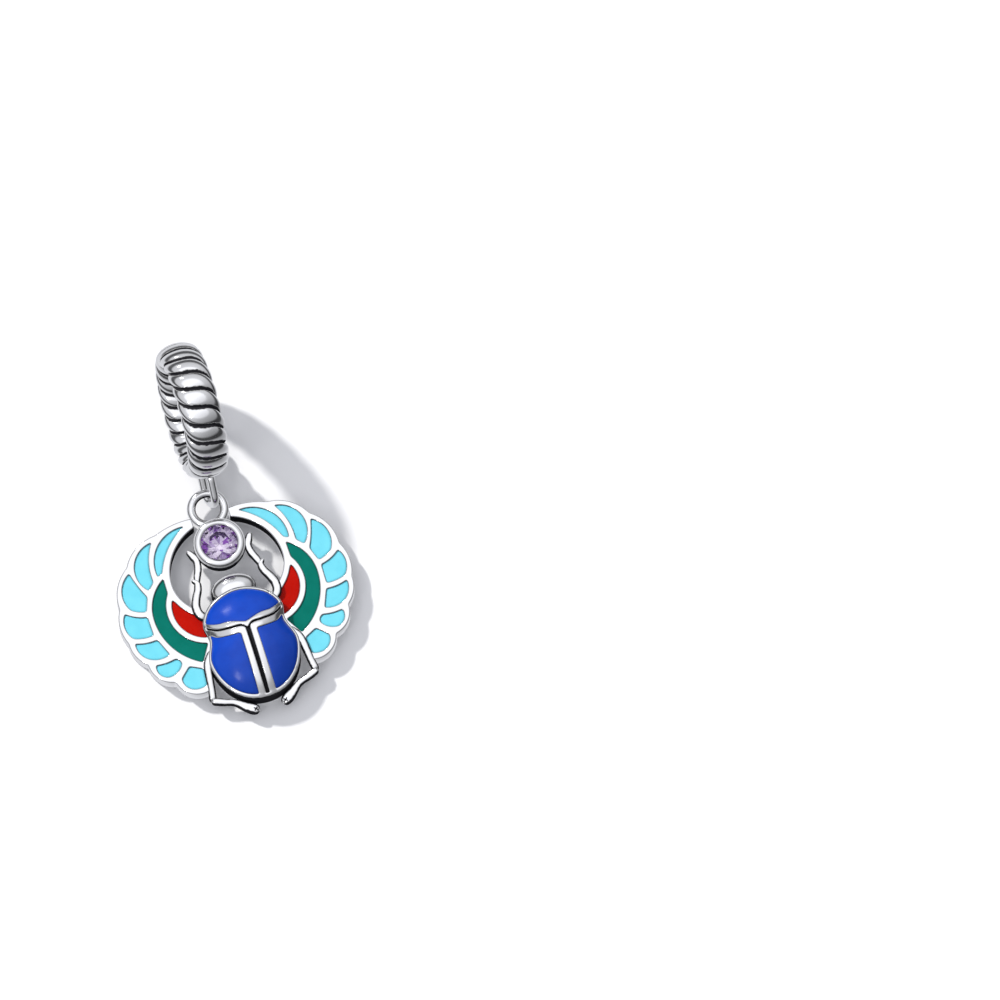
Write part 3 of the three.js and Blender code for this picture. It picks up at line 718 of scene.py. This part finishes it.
def groove_outline():
    """Plan of the dark groove: the seam across the back, and the line between the wing cases."""
    seam = across_back(SEAM_LINE)
    xs = np.arange(0, SHOULDER_X, SPACING / 2)
    line = np.column_stack([xs, seam(xs)])
    line = line[body_scale(line) < SEAM_REACH]
    upper = line + (0, SEAM_HALF_WIDTH)
    lower = (line - (0, SEAM_HALF_WIDTH))[line[:, 0] > MIDLINE_HALF_WIDTH]
    right = np.vstack([[(MIDLINE_HALF_WIDTH, MIDLINE_END)], lower, upper[::-1]])
    return tidy_outline(np.vstack([right, right[-2::-1] * (-1, 1)]), passes=1)


def body():
    """The beetle's back with straight walls, three enamel pockets and the groove."""
    build = Build()
    rings = [build.ring(grown(BODY_OUTLINE, -reach), depth)
             for reach, depth in reversed(rounded_edge(BODY_WALL_LEAN, BACK_ROUNDING))]
    top = body_height(BODY_OUTLINE)
    # The wall is painted dark between these heights: oxide together with painted shade.
    for share in BODY_WALL_DARK:
        rings.append(build.ring(BODY_OUTLINE, share * top, DARK))
    for scale in np.linspace(1, BODY_COVER, EDGE_STEPS):
        plan = scaled_body(scale)
        rings.append(build.ring(plan, body_height(plan), BODY_RIM_OXIDE if scale == 1 else 0))
    build.bands(rings)
    build.cover(rings[0], up=False)
    lips = []
    plans = [*BODY_FIELDS.values(), groove_outline()]
    for plan in plans:
        pocket = []
        for reach, depth in pocket_lip(BODY_LIP):
            line = grown(plan, BODY_LIP - reach)
            pocket.append(build.ring(line, body_height(line) - depth))
        # Painted shade along each lip, and the floor painted dark, as oxide together with painted shade; in the
        # groove this gives the dark line.
        build.tones[pocket[-1]] = BODY_LIP_SHADE
        pocket.append(build.ring(plan, body_height(plan) - BODY_CELL_DEPTH, DARK))
        build.bands(pocket)
        grid = grid_inside(plan)
        build.cover(pocket[-1], extra=build.ring(grid, body_height(grid) - BODY_CELL_DEPTH, DARK))
        lips.append(pocket[0])
    holes = [build.points[lip, :2] for lip in lips]
    grid = grid_inside(build.points[rings[-1], :2], holes)
    build.cover(rings[-1], lips, extra=build.ring(grid, body_height(grid)))
    return build


def body_enamel(plan):
    """Fill of one field on the beetle's back, following its swell."""
    build = Build()
    edge = grown(plan, -FIT_GAP)
    low = build.ring(edge, body_height(edge) - BODY_CELL_DEPTH + FIT_GAP)
    rings = [low]
    for reach, depth in BODY_ENAMEL_EDGE:
        line = grown(edge, -reach)
        rings.append(build.ring(line, body_height(line) - depth))
    build.bands(rings)
    top_depth = BODY_ENAMEL_EDGE[-1][1]
    for ring, depth, up in ((low, BODY_CELL_DEPTH - FIT_GAP, False), (rings[-1], top_depth, True)):
        grid = grid_inside(build.points[ring, :2])
        build.cover(ring, extra=build.ring(grid, body_height(grid) - depth), up=up)
    return build


def head():
    build = Build()
    outline = circle(HEAD_STEPS) * (HEAD_HALF_WIDTH, HEAD_LENGTH)
    place = np.array([0, HEAD_Y])
    rings = [build.ring(place + outline * HEAD_FOOT_SCALE, 0)]
    # The wall is painted dark, and the lower dome less so towards the top: painted shade.
    rings += [build.ring(place + outline, height, DARK) for height in (HEAD_FOOT_HEIGHT, HEAD_RIM)]
    for angle in np.linspace(0, math.pi / 2, HEAD_RINGS)[1:-1]:
        rise = math.sin(angle)
        height = HEAD_RIM + (HEAD_TOP - HEAD_RIM) * rise
        tone = max(0, HEAD_SHADE - HEAD_SHADE_FALL * rise)
        rings.append(build.ring(place + outline * math.cos(angle), height, tone))
    build.bands(rings)
    build.cap(rings[0], up=False)
    build.cap(rings[-1])
    return build


def limb(route, half_widths, half_heights):
    """One limb: a bar with a flattened section and rounded ends along its route."""
    build = Build()
    path = evened(catmull_rom(route), LIMB_SPACING, False)
    ways = unit(np.gradient(path, axis=0))
    across = unit(np.column_stack([-ways[:, 1], ways[:, 0], np.zeros(len(path))]))
    share = np.linspace(0, 1, len(path))
    widths = np.interp(share, np.linspace(0, 1, len(half_widths)), half_widths)
    heights = np.interp(share, np.linspace(0, 1, len(half_heights)), half_heights)
    length = LIMB_SPACING * (len(path) - 1)
    to_end = np.minimum(share, 1 - share) * length
    fullness = np.sqrt(1 - (1 - np.clip(to_end / widths, 0, 1)) ** 2)
    fullness = LIMB_END_SCALE + (1 - LIMB_END_SCALE) * fullness
    angles = np.linspace(0, 2 * math.pi, LIMB_SIDES, endpoint=False)
    cosines, sines = np.cos(angles), np.sin(angles)
    aside = np.sign(cosines) * np.abs(cosines) ** (2 / LIMB_SQUARENESS)
    upward = np.sign(sines) * np.abs(sines) ** (2 / LIMB_SQUARENESS)
    # Painted dark on the sides: oxide together with painted shade.
    tone = 1 - smoothstep(*LIMB_TONE_EDGE, np.abs(sines))
    rings = []
    for centre, way, width, height, full in zip(path, across, widths, heights, fullness):
        points = centre + np.outer(width * full * aside, way)
        points[:, 2] += height * full * upward
        rings.append(build.add(points, tone))
    build.bands(rings)
    build.cap(rings[0], up=False)
    build.cap(rings[-1])
    return build


def circle(count):
    angles = np.linspace(0, 2 * math.pi, count, endpoint=False)
    return np.column_stack([np.cos(angles), np.sin(angles)])


def bezel():
    build = Build()
    profile = softened(evened(np.array(BEZEL_PROFILE), BEZEL_SPACING, True), 2)
    outer = profile[:, 0] > BEZEL_WALL_RADIUS
    # Dark on the lower outer wall and the inner wall: oxide together with painted shade.
    wall_tone = 1 - smoothstep(*BEZEL_TONE_EDGE, profile[:, 1])
    tones = np.where(outer, wall_tone, np.where(profile[:, 1] > BEZEL_LIP_LOW, 0, DARK))
    tones[profile[:, 1] < BEZEL_BACK] = 0
    place = np.array([0, STONE_Y])
    rings = [build.ring(place + circle(BEZEL_STEPS) * radius, height, tone)
             for (radius, height), tone in zip(profile, tones)]
    build.bands([*rings, rings[0]])
    return build


def eyelet():
    build = Build()
    rings = []
    for across, rise in circle(EYELET_SIDES) * EYELET_WIRE:
        plan = EYELET[:2] + circle(EYELET_STEPS) * (EYELET_RADIUS + across)
        # Painted shade on the inner side of the wire.
        tone = smoothstep(*EYELET_TONE_EDGE, -across / EYELET_WIRE)
        rings.append(build.ring(plan, EYELET[2] + rise, tone))
    build.bands([*rings, rings[0]])
    return build


def bar_cutter(size, lean, place, heights, tone):
    """A straight bar that leans in the plan, with which a notch is cut."""
    build = Build()
    turn = np.array([[math.cos(lean), math.sin(lean)], [-math.sin(lean), math.cos(lean)]])
    plan = (SQUARE * size / 2) @ turn + place
    rings = [build.ring(plan, height, tone) for height in heights]
    build.bands(rings)
    build.cap(rings[0], up=False)
    build.cap(rings[1])
    return build


def strokes():
    """Cutters for the row of strokes on the back."""
    cutters = []
    for k in range(STROKE_COUNT):
        place = ((k - (STROKE_COUNT - 1) / 2) * STROKE_STEP, STROKE_Y)
        heights = (-STROKE_DEPTH, STROKE_DEPTH)
        cutters.append(bar_cutter(STROKE_SIZE, STROKE_LEAN * (-1) ** k, place, heights, STROKE_OXIDE))
    return cutters


def foot_notches():
    """Cutters for the small crossed notch on each hind foot."""
    cutters = []
    for lean in (-FOOT_NOTCH_LEAN, FOOT_NOTCH_LEAN):
        bar = bar_cutter(FOOT_NOTCH_SIZE, lean, FOOT_NOTCH_PLACE, FOOT_NOTCH_HEIGHTS, DARK)
        cutters += [bar, bar.mirrored()]
    return cutters


def rope_points(ridge_angles, section_angles):
    """Points of the twisted ring around its own X axis, and how far each lies from the middle of its ridge."""
    ridge, section = np.meshgrid(ridge_angles, section_angles)
    twist = ROPE_STRANDS * (section - ROPE_SIDE_TWIST / 2 * np.sin(2 * section))
    around = ridge + (twist + 2 * math.pi * ROPE_START) / ROPE_RIDGES
    across = 2 * np.mod(ridge * ROPE_RIDGES / (2 * math.pi), 1) - 1
    swell = 1 - ROPE_GROOVE * (1 - (1 - across * across) ** ROPE_FULLNESS)
    radius = (RING_OUTER + RING_INNER) / 2 + (RING_OUTER - RING_INNER) / 2 * swell * np.cos(section)
    aside = RING_HALF_WIDTH * swell * np.sin(section)
    return np.stack([aside, radius * np.cos(around), radius * np.sin(around)], axis=-1), np.abs(across)


def rope():
    build = Build()
    count = ROPE_RIDGES * ROPE_STEPS_PER_RIDGE
    ridge_angles = np.linspace(0, 2 * math.pi, count, endpoint=False)
    section_angles = np.linspace(0, 2 * math.pi, ROPE_SIDES, endpoint=False)
    points, across = rope_points(ridge_angles, section_angles)
    # Darker towards the grooves: oxide together with painted shade.
    tones = smoothstep(*ROPE_TONE_EDGE, across)
    rings = [build.add(row, tone) for row, tone in zip(points, tones)]
    last = np.roll(rings[0], -ROPE_STRANDS * ROPE_STEPS_PER_RIDGE)
    build.bands([*rings, last])
    return build


RING_MIDDLE = (RING_OUTER + RING_INNER) / 2
STAND_HEIGHT = RING_MIDDLE * math.cos(BAIL_TILT) + math.hypot(
    (RING_OUTER - RING_INNER) / 2 * math.cos(BAIL_TILT), RING_HALF_WIDTH * math.sin(BAIL_TILT))
EYE_DROP = math.asin((STAND_HEIGHT - EYELET[2]) / (EYE_REACH * math.cos(BAIL_TILT)))
EYE_WAY = np.array([0, -math.cos(EYE_DROP), -math.sin(EYE_DROP)])


def bail_eye():
    """The oval eye: a wire along two half circles and the straights between them, twisted about its own length."""
    build = Build()
    straight = EYE_REACH - EYE_NEAR
    half_way = math.pi * EYE_BEND + straight
    upward = math.cos(EYE_TWIST) * np.array([0, -math.sin(EYE_DROP), math.cos(EYE_DROP)])
    upward[0] = math.sin(EYE_TWIST)
    axis = np.cross(upward, EYE_WAY)
    rings = []
    for station in np.linspace(0, 2 * half_way, EYE_STEPS, endpoint=False):
        flip = 1 if station < half_way else -1
        way = station % half_way
        bend = min(1, way / (math.pi * EYE_BEND)) * math.pi
        slide = max(0, way - math.pi * EYE_BEND)
        normal = flip * (math.sin(bend) * EYE_WAY + math.cos(bend) * upward)
        centre = EYE_WAY * (EYE_REACH - slide if flip > 0 else EYE_NEAR + slide)
        wire = circle(EYE_SIDES) * EYE_WIRE
        points = centre + np.outer(EYE_BEND + wire[:, 0], normal)
        points -= np.outer(wire[:, 1], axis)
        rings.append(build.add(points))
    build.bands([*rings, rings[0]])
    return build


def bail_place():
    """Where the bail sits in the pendant's plan, leaning and turned, with its eye on the eyelet's wire."""
    turned = Matrix.Rotation(-BAIL_TURN, 4, "Z") @ Matrix.Rotation(BAIL_TILT, 4, "Y")
    link = Vector(EYELET) + EYELET_RADIUS * Vector((math.sin(LINK_PLACE), math.cos(LINK_PLACE), 0))
    return Matrix.Translation(link - turned @ Vector(EYE_WAY * EYE_REACH)) @ turned


def brilliant():
    """The round stone: table, stars, kites and girdle facets above, mains and girdle facets below."""
    build = Build()
    place = np.array([0, STONE_Y])
    folds = circle(STONE_FOLDS)
    between = circle(2 * STONE_FOLDS)[1::2]
    lean = math.cos(math.pi / STONE_FOLDS)
    crown_share = (STAR_RADIUS * lean - TABLE_RADIUS) / (GIRDLE_RADIUS - TABLE_RADIUS)
    star_height = TABLE_HEIGHT + (GIRDLE_HIGH - TABLE_HEIGHT) * crown_share
    pavilion_share = PAVILION_RADIUS * lean / GIRDLE_RADIUS
    pavilion_height = CULET_HEIGHT + (GIRDLE_LOW - CULET_HEIGHT) * pavilion_share
    table = build.ring(place + folds * TABLE_RADIUS, TABLE_HEIGHT)
    stars = build.ring(place + between * STAR_RADIUS, star_height)
    high = build.ring(place + circle(2 * STONE_FOLDS) * GIRDLE_RADIUS, GIRDLE_HIGH)
    low = build.ring(place + circle(2 * STONE_FOLDS) * GIRDLE_RADIUS, GIRDLE_LOW)
    deep = build.ring(place + between * PAVILION_RADIUS, pavilion_height)
    culet = build.add([(*place, CULET_HEIGHT)])[0]
    build.cap(table)
    build.bands([low, high])
    # Painted sparkle: each facet is marked pale or deep.
    sparkle_shades = [FACET_SPARKLE_SHADES["table"]] + [FACET_SPARKLE_SHADES["pavilion"]] * len(low)
    for k in range(STONE_FOLDS):
        after = (k + 1) % STONE_FOLDS
        here, middle, there = 2 * k, 2 * k + 1, 2 * after
        build.faces += [
            (table[k], stars[k], table[after]),
            (table[k], stars[k - 1], high[here], stars[k]),
            (stars[k], high[here], high[middle]),
            (stars[k], high[middle], high[there]),
            (deep[k], low[middle], low[here]),
            (deep[k], low[there], low[middle]),
            (culet, deep[k], low[here], deep[k - 1]),
        ]
        sparkle_shades += [FACET_SPARKLE_SHADES["star"], FACET_SPARKLE_SHADES["kite"][k % 2], *FACET_SPARKLE_SHADES["girdle"]]
        sparkle_shades += [FACET_SPARKLE_SHADES["pavilion"]] * 3
    stone = build.object("faceted_stone")
    depth = stone.data.attributes.new("depth", "FLOAT", "FACE")
    depth.data.foreach_set("value", sparkle_shades)
    return stone


class Shader:
    """A procedural material around one principled shader. Its textures are laid out in millimetres."""

    def __init__(self, name):
        self.material = bpy.data.materials.new(name)
        self.material.use_nodes = True
        self.nodes = self.material.node_tree.nodes
        self.links = self.material.node_tree.links
        self.principled = self.nodes["Principled BSDF"]
        self.place = self.node("ShaderNodeVectorMath", operation="SCALE")
        self.place.inputs["Scale"].default_value = 1 / MM
        self.link(self.node("ShaderNodeTexCoord").outputs["Object"], self.place.inputs[0])

    def node(self, kind, **settings):
        node = self.nodes.new(kind)
        for name, value in settings.items():
            setattr(node, name, value)
        return node

    def link(self, source, target):
        """Link a socket to an input, or set the input where the source is a plain value."""
        if isinstance(source, bpy.types.NodeSocket):
            self.links.new(source, target)
        else:
            target.default_value = source

    def noise(self, scale, detail=2.0, stretch=(1, 1, 1)):
        mapping = self.node("ShaderNodeMapping")
        mapping.inputs["Scale"].default_value = stretch
        self.link(self.place.outputs[0], mapping.inputs["Vector"])
        noise = self.node("ShaderNodeTexNoise")
        noise.inputs["Scale"].default_value = scale
        noise.inputs["Detail"].default_value = detail
        self.link(mapping.outputs[0], noise.inputs["Vector"])
        return noise.outputs["Fac"]

    def ranged(self, value, low, high, to_low=0.0, to_high=1.0):
        node = self.node("ShaderNodeMapRange", interpolation_type="SMOOTHSTEP")
        for name, number in zip(("From Min", "From Max", "To Min", "To Max"), (low, high, to_low, to_high)):
            node.inputs[name].default_value = number
        self.link(value, node.inputs["Value"])
        return node.outputs["Result"]

    def math(self, operation, a, b):
        node = self.node("ShaderNodeMath", operation=operation)
        self.link(a, node.inputs[0])
        self.link(b, node.inputs[1])
        return node.outputs[0]

    def blend(self, share, a, b):
        """A mix of two colours or two numbers."""
        is_colour = any(isinstance(v, tuple) for v in (a, b)) or getattr(a, "type", "") == "RGBA"
        kind = "RGBA" if is_colour else "FLOAT"
        node = self.node("ShaderNodeMix", data_type=kind)
        first, second, result = MIX_SOCKETS[kind]
        self.link(share, node.inputs[0])
        self.link((*a, 1) if isinstance(a, tuple) else a, node.inputs[first])
        self.link((*b, 1) if isinstance(b, tuple) else b, node.inputs[second])
        return node.outputs[result]

    def bump(self, height, depth):
        """Raise the surface by a height map, to a depth in millimetres."""
        node = self.node("ShaderNodeBump")
        node.inputs["Distance"].default_value = depth * MM
        self.link(height, node.inputs["Height"])
        self.link(node.outputs[0], self.principled.inputs["Normal"])

    def set(self, **values):
        for name, value in values.items():
            self.link(value, self.principled.inputs[name.replace("_", " ").title().replace("Ior", "IOR")])


def silver_material():
    """Polished silver, painted dark in recesses, on walls and on the sides of parts, as oxide together with painted
    shade; the raised tops stay bright.
    """
    shader = Shader("silver")
    oxide_and_shade = shader.node("ShaderNodeAttribute", attribute_name="oxide_and_shade").outputs["Fac"]
    ragged = shader.math("ADD", oxide_and_shade, shader.ranged(shader.noise(4.0, 3.0), 0.3, 0.7, -0.15, 0.15))
    cover = shader.ranged(ragged, 0.3, 0.75)
    clouds = shader.noise(0.9, 4.0)
    polish = shader.blend(clouds, *SILVER_TINTS)
    scratches = shader.noise(14.0, 4.0, (1.0, 0.12, 1.0))
    shader.set(
        base_color=shader.blend(cover, polish, OXIDE_AND_SHADE_COLOUR),
        metallic=shader.blend(cover, 1.0, 0.0),
        roughness=shader.blend(cover, shader.ranged(clouds, 0.3, 0.7, 0.09, 0.17), 0.5),
        specular_ior_level=0.0,
    )
    shader.bump(shader.math("ADD", scratches, shader.noise(3.0, 2.0)), 0.0012)
    return shader.material


def enamel_material(name, pale, deep, roughness, specular):
    """Fired enamel: a slightly cloudy colour with fine dark specks, and a glassy surface with a faint waviness."""
    shader = Shader(name)
    clouds = shader.ranged(shader.noise(1.1, 4.0), 0.3, 0.7)
    specks = shader.ranged(shader.noise(16.0, 1.0), 0.7, 0.78, 0.0, 0.35)
    tint = shader.blend(clouds, deep, pale)
    shader.set(
        base_color=shader.blend(specks, tint, tuple(0.6 * c for c in deep)),
        roughness=shader.ranged(shader.noise(2.5, 3.0), 0.3, 0.7, roughness, roughness + 0.08),
        specular_ior_level=specular,
    )
    shader.bump(shader.noise(1.8, 2.0), 0.004)
    return shader.material


def stone_material():
    """Violet crystal with a faint zoning of its colour, and a pale or deep colour painted on each facet as the
    stone's sparkle.
    """
    shader = Shader("amethyst")
    zones = shader.ranged(shader.noise(1.4, 2.0), 0.35, 0.65, -0.12, 0.12)
    # Pale or deep per facet: painted sparkle.
    depth = shader.node("ShaderNodeAttribute", attribute_name="depth").outputs["Fac"]
    shader.set(
        base_color=shader.blend(shader.math("ADD", depth, zones), *STONE_TINTS),
        roughness=0.0,
        transmission_weight=1.0,
        ior=STONE_IOR,
        specular_tint=STONE_SHINE,
    )
    return shader.material


stone_low, stone_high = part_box("gemstone")
PLAN_SHIFT = (stone_low + stone_high) / 2 / MM - Vector((0, STONE_Y, 0))
PLAN_SHIFT.z = 0
TO_FRAME = Matrix.Scale(MM, 4) @ Matrix.Translation(PLAN_SHIFT)


def part_level_faces(mesh):
    """Sharp edges around the level faces, so that the flat back and the flat tops stay flat in their shading."""
    shaper = bmesh.new()
    shaper.from_mesh(mesh)
    for edge in shaper.edges:
        levels = [abs(face.normal.z) > LEVEL_LIMIT for face in edge.link_faces]
        if any(levels) and not all(levels):
            edge.smooth = False
    shaper.to_mesh(mesh)
    shaper.free()


def finish_piece(piece, node, slot, material, smooth=True):
    """Put a piece that is built in millimetres into the frame, in place of its CAD node."""
    piece.data.transform(TO_FRAME)
    piece.data.materials.clear()
    piece.data.materials.append(material)
    if smooth:
        piece.data.shade_smooth()
        piece.data.set_sharp_from_angle(angle=SHARP_ANGLE)
        part_level_faces(piece.data)
        modifier = piece.modifiers.new("even_normals", "WEIGHTED_NORMAL")
        modifier.mode = "FACE_AREA"
        modifier.keep_sharp = True
    else:
        piece.data.shade_flat()
    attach(piece, "root")
    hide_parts(node)


silver = silver_material()
right_wing = wing()
castings = [right_wing, right_wing.mirrored(), body(), head(), bezel(), eyelet()]
for entry in LIMBS:
    right_limb = limb(**entry)
    castings += [right_limb, right_limb.mirrored()]
casting_objects = [build.object("casting") for build in castings]
pendant = combined("UNION", casting_objects[0], casting_objects[1:])
cutters = [build.object("stroke") for build in strokes() + foot_notches()]
pendant = combined("DIFFERENCE", pendant, cutters)
pendant.name = "pendant_casting"
discard(casting_objects[1:] + cutters)

FILLS = {kind: (look[0], enamel_material(*look)) for kind, look in ENAMELS.items()}
fills = []
for cell_name, cell in WING_CELLS.items():
    kind, *rest = cell_name.split("_")
    slab = enamel_slab(cell)
    for side in SIDES:
        fill = (slab if side == "right" else slab.mirrored()).object("_".join([kind, "fill", side, *rest]))
        combined("DIFFERENCE", fill, [pendant])
        node = "_".join(["feather" if kind == "feather" else f"{kind}_band", side, *rest])
        fills.append((fill, node, *FILLS[kind]))
for field, plan in BODY_FIELDS.items():
    node = "pronotum_enamel" if field == "pronotum" else f"elytron_enamel_{field}"
    fills.append((body_enamel(plan).object(node.replace("enamel", "fill")), node, *FILLS["blue"]))
for fill in fills:
    finish_piece(*fill)
finish_piece(pendant, "silver_pendant", "silver", silver)

bail = rope().object("bail_casting")
eye = bail_eye().object("eye")
combined("UNION", bail, [eye])
discard([eye])
bail.data.transform(bail_place())
finish_piece(bail, "rope_bail", "silver", silver)
stone = brilliant()
finish_piece(stone, "gemstone", "amethyst", stone_material(), smooth=False)
enamels = [fill for fill, *_ in fills]
for piece in (pendant, *enamels):
    piece.visible_glossy = False


def floor():
    mesh = bpy.data.meshes.new("floor")
    corners = [(*corner, -FLOOR_GAP * MM) for corner in (SQUARE * FLOOR_HALF_SIZE).tolist()]
    mesh.from_pydata(corners, [], [(0, 1, 2, 3)])
    material = bpy.data.materials.new("floor")
    material.use_nodes = True
    principled = material.node_tree.nodes["Principled BSDF"]
    principled.inputs["Base Color"].default_value = FLOOR_COLOUR
    principled.inputs["Roughness"].default_value = FLOOR_ROUGHNESS
    principled.inputs["Specular IOR Level"].default_value = FLOOR_SPECULAR
    mesh.materials.append(material)
    obj = bpy.data.objects.new("floor", mesh)
    obj.visible_glossy = False
    bpy.context.scene.collection.objects.link(obj)
    return obj


def sky():
    """Soft studio light: a bright ceiling over a dark band along the horizon. It is dimmer on the side away from the
    sun."""
    world = bpy.data.worlds.new("studio")
    world.use_nodes = True
    nodes, links = world.node_tree.nodes, world.node_tree.links
    way = nodes.new("ShaderNodeTexCoord").outputs["Generated"]
    split = nodes.new("ShaderNodeSeparateXYZ")
    links.new(way, split.inputs[0])
    ramp = nodes.new("ShaderNodeValToRGB")
    ramp.color_ramp.interpolation = "EASE"
    stops = ramp.color_ramp.elements
    stops.remove(stops[1])
    for k, (height, strength) in enumerate(SKY_STOPS):
        stop = stops.new((height + 1) / 2) if k else stops[0]
        stop.color = (*(SKY_COLOUR * SKY_STRENGTH * strength), 1)
    height_share = nodes.new("ShaderNodeMapRange")
    height_share.inputs["From Min"].default_value = -1
    links.new(split.outputs["Z"], height_share.inputs["Value"])
    links.new(height_share.outputs["Result"], ramp.inputs["Fac"])
    along_sun = nodes.new("ShaderNodeVectorMath")
    along_sun.operation = "DOT_PRODUCT"
    along_sun.inputs[1].default_value = Vector((SUN_WAY[0], SUN_WAY[1], 0)).normalized()
    links.new(way, along_sun.inputs[0])
    strength = nodes.new("ShaderNodeMath")
    strength.operation = "MULTIPLY_ADD"
    strength.use_clamp = True
    strength.inputs[1].default_value = -SKY_DIMMING
    strength.inputs[2].default_value = 1
    links.new(along_sun.outputs["Value"], strength.inputs[0])
    background = nodes["Background"]
    links.new(strength.outputs[0], background.inputs["Strength"])
    links.new(ramp.outputs["Color"], background.inputs["Color"])
    bpy.context.scene.world = world


def sun(name, lit, shading):
    """One sun for the objects that it lights, which only the shading ones shade."""
    light = bpy.data.lights.new(name, "SUN")
    light.energy = SUN_STRENGTH
    light.angle = SUN_ANGLE
    light.color = SUN_COLOUR
    obj = bpy.data.objects.new(name, light)
    obj.rotation_euler = Vector(SUN_WAY).to_track_quat("-Z", "Y").to_euler()
    obj.visible_glossy = False
    bpy.context.scene.collection.objects.link(obj)
    obj.light_linking.receiver_collection = gathered(f"{name}_lit", lit)
    obj.light_linking.blocker_collection = gathered(f"{name}_shading", shading)


def gathered(name, objects):
    collection = bpy.data.collections.new(name)
    for obj in objects:
        collection.objects.link(obj)
    return collection


def softboxes():
    """Two small lights whose images lie on the beetle's pronotum and on its left wing case."""
    middle = TO_FRAME @ Vector((*BODY_CENTRE, BODY_TOP))
    for way in SOFTBOX_WAYS:
        light = bpy.data.lights.new("softbox", "AREA")
        light.size = SOFTBOX_SIZE
        light.energy = SOFTBOX_POWER
        obj = bpy.data.objects.new("softbox", light)
        obj.location = middle + SOFTBOX_DISTANCE * Vector(way)
        obj.rotation_euler = Vector(way).to_track_quat("Z", "Y").to_euler()
        bpy.context.scene.collection.objects.link(obj)


def camera():
    right = Vector((math.cos(CAMERA_TURN), -math.sin(CAMERA_TURN), 0))
    level = Vector((math.sin(CAMERA_TURN), math.cos(CAMERA_TURN), 0))
    forward = level * math.cos(CAMERA_DROP) - Vector((0, 0, math.sin(CAMERA_DROP)))
    axes = Matrix((right, right.cross(forward), -forward)).transposed().to_4x4()
    data = bpy.data.cameras.new("camera")
    data.lens = CAMERA_LENS
    data.clip_start = CAMERA_CLIP
    obj = bpy.data.objects.new("camera", data)
    obj.matrix_world = Matrix.Translation(TO_FRAME @ Vector(CAMERA_PLACE)) @ axes
    bpy.context.scene.collection.objects.link(obj)
    bpy.context.scene.camera = obj


ground = floor()
sky()
pendant_pieces = [pendant, stone, *enamels]
sun("sun_on_ground", [ground], [*pendant_pieces, bail])
sun("sun_on_charm", [*pendant_pieces, bail], pendant_pieces)
softboxes()
camera()
bpy.context.scene.view_settings.view_transform = "Standard"
